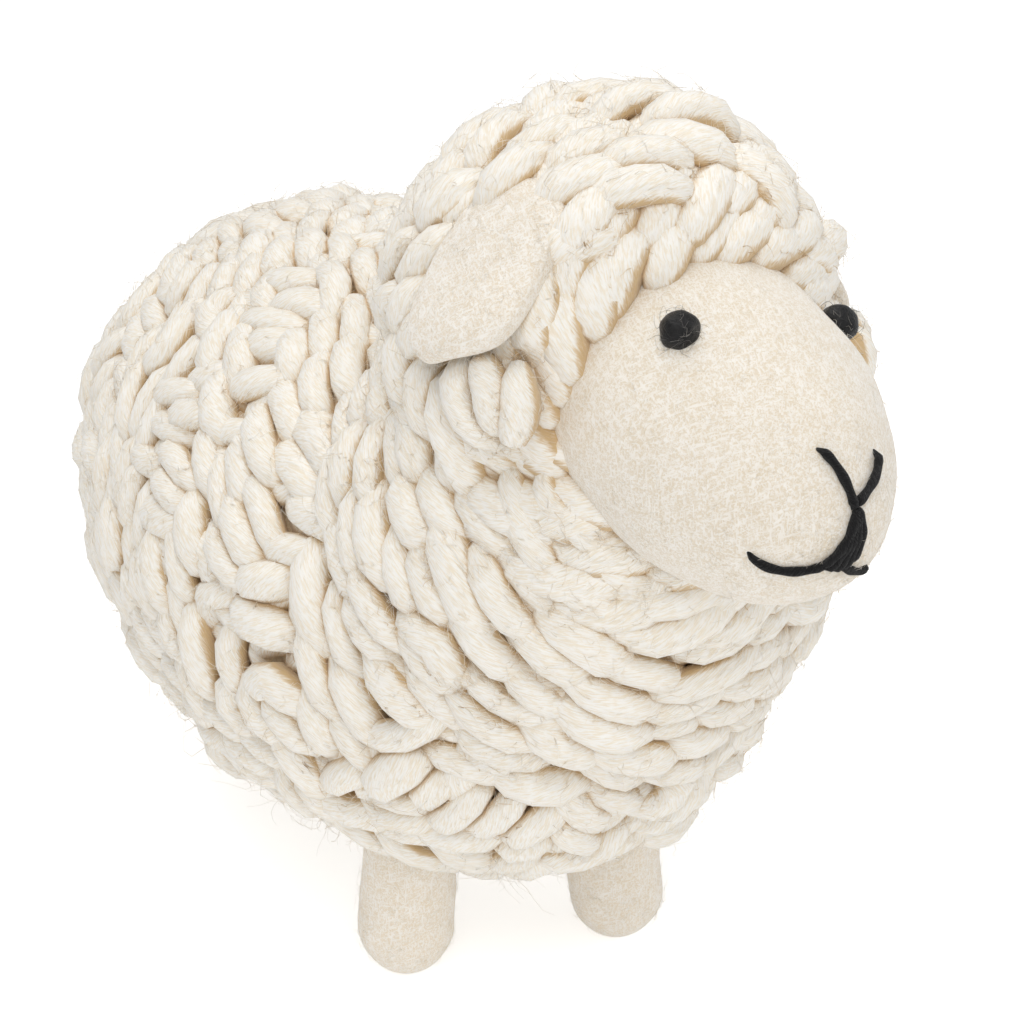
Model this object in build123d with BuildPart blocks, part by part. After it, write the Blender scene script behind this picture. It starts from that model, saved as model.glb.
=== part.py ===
"""Felted wool sheep figurine with a fleece of thick yarn.

A felted core carries courses of yarn loops laid side by side round it. A felted head sits on a
dowel at the front and wears a cap of the same yarn, and four felted legs stand on dowels of their
own. Eyes are felted balls, and the nose and mouth are stitched. Each felt ear hangs on one stitch
through its rolled root and can be lifted.

The sheep looks along -Y, its left side is +X, and it stands on Z = 0.
"""

import os
from math import acos, copysign, cos, degrees, pi, radians, sin

from build123d import *

os.makedirs("parts", exist_ok=True)

# Body, measured over the fleece
body_radius = 48.0
body_half_length = 77.7
body_height = 63.3
chest_fullness = 2.0
rump_fullness = 2.25
fleece_depth = 9.0
course_count = 12
strands_per_course = 3
strand_dip = 1.3

# Legs, each foot placed by shares of the core's radius and half length, ahead (-) or behind (+)
leg_radius = 7.6
leg_top_radius = 6.6
leg_bite = 3.0
leg_swell_height = 8.6
leg_splay = 4.0
front_leg_side_share = 0.449
rear_leg_side_share = 0.27
front_right_foot_share = -0.41
front_left_foot_share = -0.521
rear_foot_share = 0.61
foot_flat_depth = 0.5

# Head, an egg whose nose is turned down and whose crown leans to one side
head_radius = 19.3
head_half_length = 32.4
head_overhang = 4.5
head_above_back = 2.4
head_pitch = 12.2
head_lean = 5.4

# Yarn cap on the head
cap_radius = 29.0
cap_half_length = 33.5
cap_behind = 20.5
hairline_behind = 9.0
fringe_roll = 4.0
cap_course_names = ["fringe", "crown", "nape"]
strands_per_cap_course = 2

# Neck, a roll of yarn round a dowel that slopes from the head down into the body, with its radius
# at the top, its radius at the foot and its bulge as shares of the body's radius
neck_slope = 44.0
neck_top_share = 0.4375
neck_foot_share = 0.729
neck_bulge_share = 0.125
neck_start = 9.0
neck_length = 60.0
neck_strand_count = 6

# Dowels
neck_dowel_radius = 3.0
neck_dowel_start = 4.0
neck_dowel_length = 74.0
leg_dowel_radius = 2.0
leg_dowel_start = 9.0
leg_dowel_bite = 13.0

# Eyes, felted balls sunk into the face
eye_radius = 2.8
eye_right_side = 10.9
eye_left_side = 13.2
eye_ahead = 4.9
eye_lift_share = 0.1

# Stitched nose and mouth, drawn on a plane across the muzzle
nose_height = 6.3
stitch_tilt = 12.0
stitch_lift = 1.1
thread_width = 1.7
nose_arm_side = 4.2
nose_arm_rise = 4.5
nose_arm_bow = 0.3
nose_drop = 7.8
nose_half_width = 2.2
nose_round = 0.6
mouth_half_width = 8.9
mouth_dip = 1.6
mouth_end_drop = 1.4

# Ears, felt leaves that hang in the yarn of the cap from a rolled root, and flare at the tip
ear_right_angle = 47.3
ear_left_angle = 60.0
ear_right_ahead = 3.0
ear_left_behind = 3.0
ear_sweep = 25.0
ear_thickness = 4.4
ear_rise = 1.2
ear_bend_radius = 45.0
ear_room = 0.5
ear_root_radius = 2.1
ear_root_half_width = 4.6
ear_half_width = 9.8
ear_shoulder_side = 7.6
ear_shoulder_drop = 5.5
ear_widest_drop = 11.0
ear_front_drop = 15.0
ear_tip_drop = 22.0
ear_tip_side = 5.6
ear_corner_radius = 2.6
ear_thread_radius = 0.7
ear_thread_clearance = 0.1
ear_thread_margin = 1.6
ear_thread_anchor = 6.0

# Sides of the sheep, as the sign of X, and the turn of a quarter
sides = {"right": -1, "left": 1}
quarter_turn = 90.0

# The core under the fleece, the neck, and the head's place ahead of the chest and above the back
core_radius = body_radius - fleece_depth
core_half_length = body_half_length - fleece_depth
neck_top_radius = body_radius * neck_top_share
neck_foot_radius = body_radius * neck_foot_share
neck_bulge = body_radius * neck_bulge_share
head_ahead = body_half_length + head_overhang
head_height = body_height + body_radius + head_above_back

# The middle of the body stands behind the origin, so that the origin is midway from nose to rump
head_reach = (
    (head_half_length * cos(radians(head_pitch))) ** 2 + (head_radius * sin(radians(head_pitch))) ** 2
) ** 0.5
body_y = (head_ahead + head_reach + stitch_lift - body_half_length) / 2
head_y = body_y - head_ahead

# Planes: the body's and the head's hold the profiles that are turned about their long axes
body_plane = Plane(origin=(0, body_y, body_height), x_dir=(0, 1, 0), z_dir=(1, 0, 0))
body_axis = Axis(body_plane.origin, body_plane.x_dir)

pitch, lean = radians(head_pitch), radians(head_lean)
head_frame = Plane(
    origin=(0, head_y, head_height),
    x_dir=(cos(lean), sin(lean) * sin(pitch), -sin(lean) * cos(pitch)),
    z_dir=(sin(lean), -cos(lean) * sin(pitch), cos(lean) * cos(pitch)),
)
head_plane = Plane(origin=head_frame.origin, x_dir=head_frame.y_dir, z_dir=head_frame.x_dir)
head_axis = Axis(head_plane.origin, head_plane.x_dir)

slope = radians(neck_slope)
neck_plane = Plane(origin=head_frame.origin, x_dir=(0, cos(slope), -sin(slope)), z_dir=(1, 0, 0))
neck_axis = Axis(neck_plane.origin, neck_plane.x_dir)


def in_head(across, behind, up):
    """Point of the sheep's frame for a place in the head's own frame."""
    return head_frame.from_local_coords(Vector(across, behind, up))


def core_point(turn):
    """Point of the core's outline, (along, out), for a turn of 0 at the chest to pi at the rump."""
    return (-core_half_length * cos(turn), core_radius * sin(turn))


def fleece_point(turn, dip):
    """Point of the fleece's outline, sunk by dip, for the same turn, fuller than an ellipse behind."""
    power = 2 / (chest_fullness if turn < pi / 2 else rump_fullness)
    along = -copysign(abs(cos(turn)) ** power, cos(turn))
    return (along * (body_half_length - dip), max(sin(turn), 0) ** power * (body_radius - dip))


def course_turn(step):
    """Turn at a step of the courses, which may be a part of a step."""
    return pi * step / course_count


def core_arc(course):
    """Stretch of the core's outline under one course, square to the axis at the two ends."""
    start_turn, end_turn = course_turn(course), course_turn(course + 1)
    first, last = core_point(start_turn), core_point(end_turn)
    if course == 0:
        TangentArc(first, last, tangent=(0, 1))
    elif course == course_count - 1:
        TangentArc(last, first, tangent=(0, 1))
    else:
        ThreePointArc(first, core_point((start_turn + end_turn) / 2), last)


def strand_arc(course, strand):
    """Round back of one strand of a course, from groove to groove; returns its two ends."""
    first = course_turn(course + strand / strands_per_course)
    last = course_turn(course + (strand + 1) / strands_per_course)
    at_chest = course == 0 and strand == 0
    at_rump = course == course_count - 1 and strand == strands_per_course - 1
    start = fleece_point(first, 0 if at_chest else strand_dip)
    end = fleece_point(last, 0 if at_rump else strand_dip)
    if at_chest:
        TangentArc(start, end, tangent=(0, 1))
    elif at_rump:
        TangentArc(end, start, tangent=(0, 1))
    else:
        ThreePointArc(start, fleece_point((first + last) / 2, 0), end)
    return start, end


def neck_point(share, dip):
    """Point of the neck roll's outline, (along, out), for a share of the way from head to body."""
    widening = (neck_foot_radius - neck_top_radius) * share
    along = neck_start + (neck_length - neck_start) * share
    return (along, neck_top_radius + widening + neck_bulge * sin(pi * share) - dip)


def half_egg(middle, half_length, radius):
    """Half outline of an egg on the axis, closed along the axis, for turning into a solid."""
    EllipticalCenterArc((middle, 0), half_length, radius, start_angle=0, arc_size=quarter_turn)
    EllipticalCenterArc((middle, 0), half_length, radius, start_angle=quarter_turn, arc_size=quarter_turn)
    Line((middle - half_length, 0), (middle + half_length, 0))


def export(piece, name):
    """Label a finished piece and write its file."""
    piece.part.label = name
    export_step(piece.part, f"parts/{name}.step")


# Forms that other pieces are cut by
with BuildPart() as core_form:
    with BuildSketch(body_plane):
        with BuildLine():
            for course in range(course_count):
                core_arc(course)
            Line(core_point(0), core_point(pi))
        make_face()
    revolve(axis=body_axis)

with BuildPart() as head_form:
    with BuildSketch(head_plane):
        with BuildLine():
            half_egg(0, head_half_length, head_radius)
        make_face()
    revolve(axis=head_axis)

with BuildPart() as neck_form:
    with BuildSketch(neck_plane):
        with BuildLine():
            for strand in range(neck_strand_count):
                first, last = strand / neck_strand_count, (strand + 1) / neck_strand_count
                crest = neck_point((first + last) / 2, 0)
                ThreePointArc(neck_point(first, strand_dip), crest, neck_point(last, strand_dip))
            Polyline(
                neck_point(1, strand_dip), (neck_length, 0), (neck_start, 0), neck_point(0, strand_dip)
            )
        make_face()
    revolve(axis=neck_axis)

with BuildPart() as neck_dowel:
    with BuildSketch(Plane(neck_axis.position, z_dir=neck_axis.direction).offset(neck_dowel_start)):
        Circle(neck_dowel_radius)
    extrude(amount=neck_dowel_length - neck_dowel_start)
export(neck_dowel, "neck_dowel")


# Legs: each foot's place, then a swelling peg from the floor up into the core, and its dowel
foot_shares = {
    "front_right": (-front_leg_side_share, front_right_foot_share),
    "front_left": (front_leg_side_share, front_left_foot_share),
    "rear_right": (-rear_leg_side_share, rear_foot_share),
    "rear_left": (rear_leg_side_share, rear_foot_share),
}
splay = radians(leg_splay)
leg_forms = []
leg_dowels = []
for name, (side_share, behind_share) in foot_shares.items():
    side = copysign(1, side_share)
    core_drop = core_radius * (1 - side_share**2 - behind_share**2) ** 0.5
    leg_length = body_height - core_drop + leg_bite
    leg_plane = Plane(
        origin=(core_radius * side_share, body_y + core_half_length * behind_share, -foot_flat_depth),
        x_dir=(cos(splay), 0, side * sin(splay)),
        z_dir=(0, -1, 0),
    )
    leg_axis = Axis(leg_plane.origin, leg_plane.y_dir)

    with BuildPart() as dowel:
        with BuildSketch(Plane(leg_axis.position, z_dir=leg_axis.direction).offset(leg_dowel_start)):
            Circle(leg_dowel_radius)
        extrude(amount=leg_length - leg_dowel_start + leg_dowel_bite)
    export(dowel, f"leg_dowel_{name}")
    leg_dowels.append(dowel.part)

    with BuildPart() as leg_form:
        with BuildSketch(leg_plane):
            with BuildLine():
                ThreePointArc(
                    (0, 0),
                    (leg_radius * sin(pi / 4), leg_swell_height * (1 - cos(pi / 4))),
                    (leg_radius, leg_swell_height),
                )
                TangentArc((leg_radius, leg_swell_height), (leg_top_radius, leg_length), tangent=(0, 1))
                Polyline((leg_top_radius, leg_length), (0, leg_length), (0, 0))
            make_face()
        revolve(axis=leg_axis)
        split(bisect_by=Plane.XY, keep=Keep.TOP)
    leg_forms.append(leg_form.part)

    with BuildPart() as leg:
        add(leg_form.part)
        add(core_form.part, mode=Mode.SUBTRACT)
        add(dowel.part, mode=Mode.SUBTRACT)
    export(leg, f"leg_{name}")

with BuildPart() as body_core:
    add(core_form.part)
    add(neck_dowel.part, mode=Mode.SUBTRACT)
    for dowel_part in leg_dowels:
        add(dowel_part, mode=Mode.SUBTRACT)
export(body_core, "body_core")


# Eyes: balls whose middle stands a little out of the face, and the face that holds them
eye_places = {"right": -eye_right_side, "left": eye_left_side}
eye_parts = []
for name, across in eye_places.items():
    eye_up = head_radius * (1 - (across / head_radius) ** 2 - (eye_ahead / head_half_length) ** 2) ** 0.5
    outward = Vector(
        across / head_radius**2, -eye_ahead / head_half_length**2, eye_up / head_radius**2
    ).normalized()
    lift = eye_radius * eye_lift_share
    centre = Vector(across, -eye_ahead, eye_up) + outward * lift
    with BuildPart(Plane(head_frame.from_local_coords(centre))) as eye:
        Sphere(eye_radius)
    export(eye, f"eye_{name}")
    eye_parts.append(eye.part)

with BuildPart() as head_core:
    add(head_form.part)
    add(neck_dowel.part, mode=Mode.SUBTRACT)
    for eye_part in eye_parts:
        add(eye_part, mode=Mode.SUBTRACT)
export(head_core, "head_core")


# Stitches: each stroke is drawn across the muzzle and kept where it lies on the face
tilt = radians(stitch_tilt)
stitch_plane = Plane(
    origin=in_head(0, 0, nose_height),
    x_dir=head_frame.x_dir * cos(tilt) - head_frame.z_dir * sin(tilt),
    z_dir=-head_frame.y_dir,
)
stitch_reach = head_half_length + eye_radius

with BuildPart() as stitch_skin:
    with BuildSketch(head_plane):
        with BuildLine():
            half_egg(0, head_half_length + stitch_lift, head_radius + stitch_lift)
        make_face()
    revolve(axis=head_axis)
    add(head_form.part, mode=Mode.SUBTRACT)

nose_top = thread_width / 2
nose_left = (nose_half_width, -nose_drop)
nose_right = (-nose_half_width, -nose_drop)
with BuildPart() as nose_stitch:
    with BuildSketch(stitch_plane):
        with BuildLine():
            Polyline(nose_right, (-nose_top, 0), (nose_top, 0), nose_left)
            ThreePointArc(nose_left, (0, -nose_drop - nose_round), nose_right)
        make_face()
    extrude(amount=stitch_reach)
    add(stitch_skin.part, mode=Mode.INTERSECT)
export(nose_stitch, "nose_stitch")

stitched = [nose_stitch.part]
for name, side in sides.items():
    arm_end = (side * nose_arm_side, nose_arm_rise)
    arm_middle = (side * (nose_arm_side / 2 - nose_arm_bow), nose_arm_rise / 2 + nose_arm_bow)
    mouth_start = nose_left if side > 0 else nose_right
    mouth_middle = (side * (nose_half_width + mouth_half_width) / 2, -nose_drop - mouth_dip)
    mouth_end = (side * mouth_half_width, -nose_drop - mouth_end_drop)
    strokes = {
        "nose_arm": ((0, 0), arm_middle, arm_end),
        "mouth": (mouth_start, mouth_middle, mouth_end),
    }
    for stroke, points in strokes.items():
        with BuildPart() as stitch:
            with BuildSketch(stitch_plane):
                with BuildLine(mode=Mode.PRIVATE):
                    thread = ThreePointArc(*points)
                SlotArc(thread, thread_width)
            extrude(amount=stitch_reach)
            add(stitch_skin.part, mode=Mode.INTERSECT)
            for earlier in stitched:
                add(earlier, mode=Mode.SUBTRACT)
        export(stitch, f"{stroke}_{name}")
        stitched.append(stitch.part)


# Ears: a bent leaf on a rolled root with a stitch through it, and the room they take in the cap
def ear_leaf(plane, side, room):
    """Solid of a leaf's outline, grown by room and drawn through the whole cap at one ear's plane."""
    front = (-ear_half_width, -side * ear_front_drop)
    tip = (ear_tip_side, -side * ear_tip_drop)
    shoulder = (-ear_shoulder_side, -side * ear_shoulder_drop)
    with BuildPart() as leaf:
        with BuildSketch(plane) as outline:
            with BuildLine():
                Line((ear_root_half_width, 0), (-ear_root_half_width, 0))
                ThreePointArc((-ear_root_half_width, 0), shoulder, front)
                Line(front, tip)
                ThreePointArc(tip, (ear_half_width, -side * ear_widest_drop), (ear_root_half_width, 0))
            make_face()
            fillet(outline.vertices().sort_by(Axis.Y, reverse=side > 0)[-2:], ear_corner_radius)
            if room > 0:
                offset(amount=room)
        extrude(amount=cap_radius / 2, both=True)
    return leaf.part


def ball(centre, radius):
    """Solid ball."""
    with BuildPart(Plane(centre)) as made:
        Sphere(radius)
    return made.part


ear_roots = {"right": (ear_right_angle, -ear_right_ahead), "left": (ear_left_angle, ear_left_behind)}
ear_stitches = []
ear_rooms = []
for name, side in sides.items():
    ear_angle, ear_behind = ear_roots[name]
    root_turn, swept = radians(ear_angle), radians(ear_sweep)
    out = head_frame.x_dir * (side * sin(root_turn)) + head_frame.z_dir * cos(root_turn)
    down = head_frame.x_dir * (side * cos(root_turn)) - head_frame.z_dir * sin(root_turn)
    back = head_frame.y_dir * cos(swept) + down * sin(swept)
    root_top = in_head(0, cap_behind + ear_behind, 0) + out * (cap_radius + ear_rise)
    hinge = root_top - out * (ear_thickness / 2)
    bend_centre = root_top - out * ear_bend_radius
    ear_plane = Plane(origin=hinge, x_dir=back, z_dir=out)
    root_plane = Plane(origin=hinge, x_dir=out, z_dir=back)

    with BuildPart() as ear:
        add(ear_leaf(ear_plane, side, 0))
        add(ball(bend_centre, ear_bend_radius), mode=Mode.INTERSECT)
        add(ball(bend_centre, ear_bend_radius - ear_thickness), mode=Mode.SUBTRACT)
        with BuildSketch(root_plane):
            Circle(ear_root_radius)
        extrude(amount=ear_root_half_width, both=True)
        with BuildSketch(root_plane):
            Circle(ear_thread_radius + ear_thread_clearance)
        extrude(amount=cap_radius, both=True, mode=Mode.SUBTRACT)
    export(ear, f"ear_{name}")

    with BuildPart() as room_for_ear:
        add(ear_leaf(ear_plane, side, ear_room))
        add(ball(bend_centre, ear_bend_radius - ear_thickness - ear_room), mode=Mode.SUBTRACT)
        with BuildSketch(root_plane):
            Circle(ear_thickness / 2 + ear_room)
        extrude(amount=ear_root_half_width + ear_room, both=True)
    ear_rooms.append(room_for_ear.part)

    reach = ear_root_half_width + ear_room + ear_thread_margin
    anchor = -(ear_root_radius + ear_thread_anchor)
    with BuildPart() as ear_stitch:
        with BuildLine(Plane(origin=hinge, x_dir=back, z_dir=back.cross(out))) as thread_path:
            FilletPolyline(
                (-reach, anchor), (-reach, 0), (reach, 0), (reach, anchor), radius=ear_thread_margin
            )
        with BuildSketch(Plane(thread_path.line @ 0, z_dir=thread_path.line % 0)):
            Circle(ear_thread_radius)
        sweep()
    export(ear_stitch, f"ear_stitch_{name}")
    ear_stitches.append(ear_stitch.part)
    print(f"ear_{name} hinge", [round(value, 4) for value in hinge])
    print(f"ear_{name} hinge axis", [round(value, 5) for value in back])


# Cap: courses of yarn from the hairline back over the crown to the nape
def cap_point(turn, dip):
    """Point of the cap's outline, (along, out), for a turn of 0 at the nape."""
    return (cap_behind + (cap_half_length - dip) * cos(turn), (cap_radius - dip) * sin(turn))


hairline_turn = acos((hairline_behind - cap_behind) / cap_half_length)
hairline_head_turn = acos(hairline_behind / head_half_length)
cap_course_count = len(cap_course_names)
cap_parts = []
for course, name in enumerate(cap_course_names):
    at_nape = course == cap_course_count - 1
    turns = [
        hairline_turn * (1 - (course + strand / strands_per_cap_course) / cap_course_count)
        for strand in range(strands_per_cap_course + 1)
    ]
    head_turns = [hairline_head_turn * (1 - step / cap_course_count) for step in (course, course + 1)]
    head_ends = [(head_half_length * cos(turn), head_radius * sin(turn)) for turn in head_turns]
    with BuildPart() as cap_course:
        with BuildSketch(head_plane):
            with BuildLine():
                for first, last in zip(turns, turns[1:]):
                    if last == 0:
                        TangentArc(cap_point(last, 0), cap_point(first, strand_dip), tangent=(0, 1))
                    else:
                        middle = cap_point((first + last) / 2, 0)
                        ThreePointArc(cap_point(first, strand_dip), middle, cap_point(last, strand_dip))
                Line(cap_point(turns[-1], 0 if at_nape else strand_dip), head_ends[1])
                EllipticalCenterArc(
                    (0, 0),
                    head_half_length,
                    head_radius,
                    start_angle=degrees(head_turns[1]),
                    arc_size=degrees(head_turns[0] - head_turns[1]),
                )
                front_edge = cap_point(turns[0], strand_dip)
                if course == 0:
                    rolled_along = (head_ends[0][0] + front_edge[0]) / 2 - fringe_roll
                    rolled_out = (head_ends[0][1] + front_edge[1]) / 2
                    ThreePointArc(head_ends[0], (rolled_along, rolled_out), front_edge)
                else:
                    Line(head_ends[0], front_edge)
            make_face()
        revolve(axis=head_axis)
        add(neck_dowel.part, mode=Mode.SUBTRACT)
        for cutter in [head_form.part, *ear_rooms, *ear_stitches]:
            add(cutter, mode=Mode.SUBTRACT)
    export(cap_course, f"cap_{name}")
    cap_parts.append(cap_course.part)

with BuildPart() as neck_fleece:
    add(neck_form.part)
    add(core_form.part, mode=Mode.SUBTRACT)
    add(head_form.part, mode=Mode.SUBTRACT)
    add(neck_dowel.part, mode=Mode.SUBTRACT)
    for cutter in [*cap_parts, *ear_rooms]:
        add(cutter, mode=Mode.SUBTRACT)
export(neck_fleece, "neck_fleece")


# Fleece: courses of strands round the core, cut out for the neck, the cap and the legs
with BuildPart() as cap_room:
    with BuildSketch(head_plane):
        with BuildLine():
            half_egg(cap_behind, cap_half_length, cap_radius)
        make_face()
    revolve(axis=head_axis)

for course in range(course_count):
    with BuildPart() as fleece_course:
        with BuildSketch(body_plane):
            with BuildLine():
                ends = [strand_arc(course, strand) for strand in range(strands_per_course)]
                core_arc(course)
                Line(core_point(course_turn(course)), ends[0][0])
                Line(core_point(course_turn(course + 1)), ends[-1][1])
            make_face()
        revolve(axis=body_axis)
        for cutter in [neck_form.part, cap_room.part, *leg_forms]:
            add(cutter, mode=Mode.SUBTRACT)
    export(fleece_course, f"fleece_course_{course + 1:02d}")
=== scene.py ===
"""Felted wool sheep figurine with a fleece of thick yarn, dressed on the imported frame.

Sizes are in millimetres and degrees, and meshes are written in metres. The sheep looks along -Y,
its left side is +X, and it stands on Z = 0.
"""

import logging
from dataclasses import dataclass, field
from enum import Enum
from functools import reduce
from typing import Callable

import bpy
import numpy as np
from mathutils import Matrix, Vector


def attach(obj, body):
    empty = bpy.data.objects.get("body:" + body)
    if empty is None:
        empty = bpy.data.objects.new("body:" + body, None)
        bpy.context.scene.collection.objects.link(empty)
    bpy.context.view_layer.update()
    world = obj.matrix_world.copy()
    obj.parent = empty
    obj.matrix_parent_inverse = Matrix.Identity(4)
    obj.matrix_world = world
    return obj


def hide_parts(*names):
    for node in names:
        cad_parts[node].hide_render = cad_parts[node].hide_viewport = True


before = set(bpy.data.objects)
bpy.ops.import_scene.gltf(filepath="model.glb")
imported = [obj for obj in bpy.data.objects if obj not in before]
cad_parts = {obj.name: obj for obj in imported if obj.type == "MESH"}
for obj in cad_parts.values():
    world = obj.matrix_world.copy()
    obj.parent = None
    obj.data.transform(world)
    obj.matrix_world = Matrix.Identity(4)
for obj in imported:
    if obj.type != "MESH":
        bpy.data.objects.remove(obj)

MM = 0.001
FIBRES = "matted_fibres"
LOG = logging.getLogger("sheep")
Placing = Callable[[np.ndarray], np.ndarray]


class Slot(Enum):
    """Material slots of the record."""

    YARN = "yarn"
    FACE_FELT = "face_felt"
    LEG_FELT = "leg_felt"
    EAR_FELT = "ear_felt"
    BLACK_WOOL = "black_wool"


class Rig(Enum):
    """Bodies of the frame."""

    SHEEP = "body"
    EAR_RIGHT = "ear_right"
    EAR_LEFT = "ear_left"


class Side(Enum):
    """Sides of the sheep, as the sign of X."""

    RIGHT = -1
    LEFT = 1

    def label(self) -> str:
        """The side as it stands in the names of pieces."""
        return self.name.lower()


def unit(vectors: np.ndarray) -> np.ndarray:
    """Vectors scaled to length 1."""
    return vectors / np.maximum(np.linalg.norm(vectors, axis=-1, keepdims=True), 1e-9)


def tangential(vectors: np.ndarray, normals: np.ndarray) -> np.ndarray:
    """Vectors without their part along unit normals."""
    return vectors - (vectors * normals).sum(-1, keepdims=True) * normals


def swung(vectors: np.ndarray, normals: np.ndarray, angle: np.ndarray) -> np.ndarray:
    """Vectors that are square to unit normals, turned about them by an angle in radians."""
    return vectors * np.cos(angle) + np.cross(normals, vectors) * np.sin(angle)


def agreeing(vectors: np.ndarray, guides: np.ndarray) -> np.ndarray:
    """Vectors, reversed where they point against their guides."""
    return vectors * np.where((vectors * guides).sum(-1, keepdims=True) < 0, -1, 1)


def smooth_step(low: float, high: float, value: np.ndarray) -> np.ndarray:
    """Rise from 0 where the value is low to 1 where it is high, level at both ends."""
    share = np.clip((value - low) / (high - low), 0, 1)
    return share * share * (3 - 2 * share)


def walked(knots: np.ndarray) -> np.ndarray:
    """Distance walked from the first of several knots to each of them."""
    return np.concatenate([[0], np.cumsum(np.linalg.norm(np.diff(knots, axis=0), axis=1))])


@dataclass(frozen=True)
class Ripple:
    """Smooth irregular bumps: plane waves in seeded directions."""

    size: float
    depth: float
    seed: int
    waves: int = 14

    def at(self, points: np.ndarray) -> np.ndarray:
        """Height of the bumps at points, mostly within the depth to either side of 0."""
        rng = np.random.default_rng(self.seed)
        headings = unit(rng.normal(size=(self.waves, 3)))
        directions = headings * (np.pi / self.size) * rng.uniform(0.6, 1.5, (self.waves, 1))
        phases = rng.uniform(0, 2 * np.pi, self.waves)
        return np.sin(points @ directions.T + phases).sum(-1) / self.waves**0.5 * self.depth


@dataclass(frozen=True)
class Tone:
    """Colour as it looks on a screen."""

    red: float
    green: float
    blue: float

    def linear(self) -> tuple[float, float, float, float]:
        """Scene-linear red, green, blue and alpha."""
        screen = np.array([self.red, self.green, self.blue]) / 255
        low, high = screen / 12.92, ((screen + 0.055) / 1.055) ** 2.4
        return (*np.where(screen < 0.04045, low, high).tolist(), 1.0)


@dataclass(frozen=True)
class HeadFrame:
    """Frame of the head: its middle, turned down at the nose and leant to one side.

    Local X points to the sheep's left, local Y back along the head and local Z up.
    """

    middle: tuple[float, float, float] = (0.0, -63.435, 113.7)
    pitch: float = 12.2
    lean: float = 5.4

    def axes(self) -> np.ndarray:
        """Rows of unit vectors: left, back and up."""
        pitch, lean = np.radians(self.pitch), np.radians(self.lean)
        back = np.array([0, np.cos(pitch), np.sin(pitch)])
        up = np.array([np.sin(lean), -np.cos(lean) * np.sin(pitch), np.cos(lean) * np.cos(pitch)])
        return np.array([np.cross(back, up), back, up])

    def out_of(self, local: np.ndarray) -> np.ndarray:
        """Points of the sheep's frame for points of the head's frame."""
        return np.asarray(self.middle) + np.asarray(local) @ self.axes()

    def into(self, points: np.ndarray) -> np.ndarray:
        """Points of the head's frame for points of the sheep's frame."""
        return (np.asarray(points) - np.asarray(self.middle)) @ self.axes().T


HEAD_FRAME = HeadFrame()


class Form:
    """Rounded form that yarn or fibres lie on."""

    def height(self, points: np.ndarray) -> np.ndarray:
        """Height of points above the form's surface, below 0 inside it."""
        raise NotImplementedError

    def outward(self, points: np.ndarray) -> np.ndarray:
        """Unit direction in which the height grows, from differences of 0.2 mm."""
        steps = np.eye(3) * 0.1
        rises = [self.height(points + step) - self.height(points - step) for step in steps]
        return unit(np.stack(rises, axis=-1))

    def settle(self, points: np.ndarray, height: float = 0.0, rounds: int = 4) -> np.ndarray:
        """Moves points along the outward direction to a height above the surface.

        Args:
            points: Places near the surface.
            height: Wanted height.
            rounds: Number of corrections.

        Returns:
            The moved places.
        """
        for _ in range(rounds):
            points = points - (self.height(points) - height)[..., None] * self.outward(points)
        return points


@dataclass(frozen=True)
class BodyForm(Form):
    """Egg of the body over the fleece, fuller than an ellipse at the rump."""

    middle_y: float = 17.6
    middle_z: float = 62.7
    half_length: float = 75.6
    radius: float = 46.8
    chest_fullness: float = 2.0
    rump_fullness: float = 2.25

    def height(self, points: np.ndarray) -> np.ndarray:
        """Height above the superellipse of revolution, by its value over its slope."""
        along = points[..., 1] - self.middle_y
        power = np.where(along < 0, self.chest_fullness, self.rump_fullness)
        share_along = np.maximum(np.abs(along) / self.half_length, 1e-6)
        share_out = np.hypot(points[..., 0], points[..., 2] - self.middle_z) / self.radius
        share_out = np.maximum(share_out, 1e-6)
        value = (share_along**power + share_out**power) ** (1 / power)
        steep_along = share_along ** (power - 1) / self.half_length
        slope = np.hypot(steep_along, share_out ** (power - 1) / self.radius)
        return (value - 1) / (slope * value ** (1 - power))


@dataclass(frozen=True)
class NeckForm(Form):
    """Bulging roll of the neck, sloping from the head down into the body."""

    slope: float = 44.0
    top_radius: float = 21.0
    foot_radius: float = 35.0
    bulge: float = 6.0
    start: float = 9.0
    length: float = 60.0

    def axis(self) -> np.ndarray:
        """Unit direction from the head down into the body."""
        slope = np.radians(self.slope)
        return np.array([0, np.cos(slope), -np.sin(slope)])

    def out_of(self, local: np.ndarray) -> np.ndarray:
        """Points of the sheep's frame for points (left, along the axis, up and back) of the neck's."""
        axes = np.array([[1, 0, 0], self.axis(), np.cross([1, 0, 0], self.axis())])
        return np.asarray(HEAD_FRAME.middle) + np.asarray(local) @ axes

    def radius_at(self, share: np.ndarray) -> np.ndarray:
        """Radius of the roll at shares of its length."""
        straight = self.top_radius + (self.foot_radius - self.top_radius) * share
        return straight + self.bulge * np.sin(np.pi * share)

    def height(self, points: np.ndarray) -> np.ndarray:
        """Distance from the axis over the roll's radius there, closed by flat ends."""
        offset = points - np.asarray(HEAD_FRAME.middle)
        along = offset @ self.axis()
        share = np.clip((along - self.start) / (self.length - self.start), 0, 1)
        out = np.linalg.norm(offset - along[..., None] * self.axis(), axis=-1)
        return np.maximum(out - self.radius_at(share), np.maximum(self.start - along, along - self.length))


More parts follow.
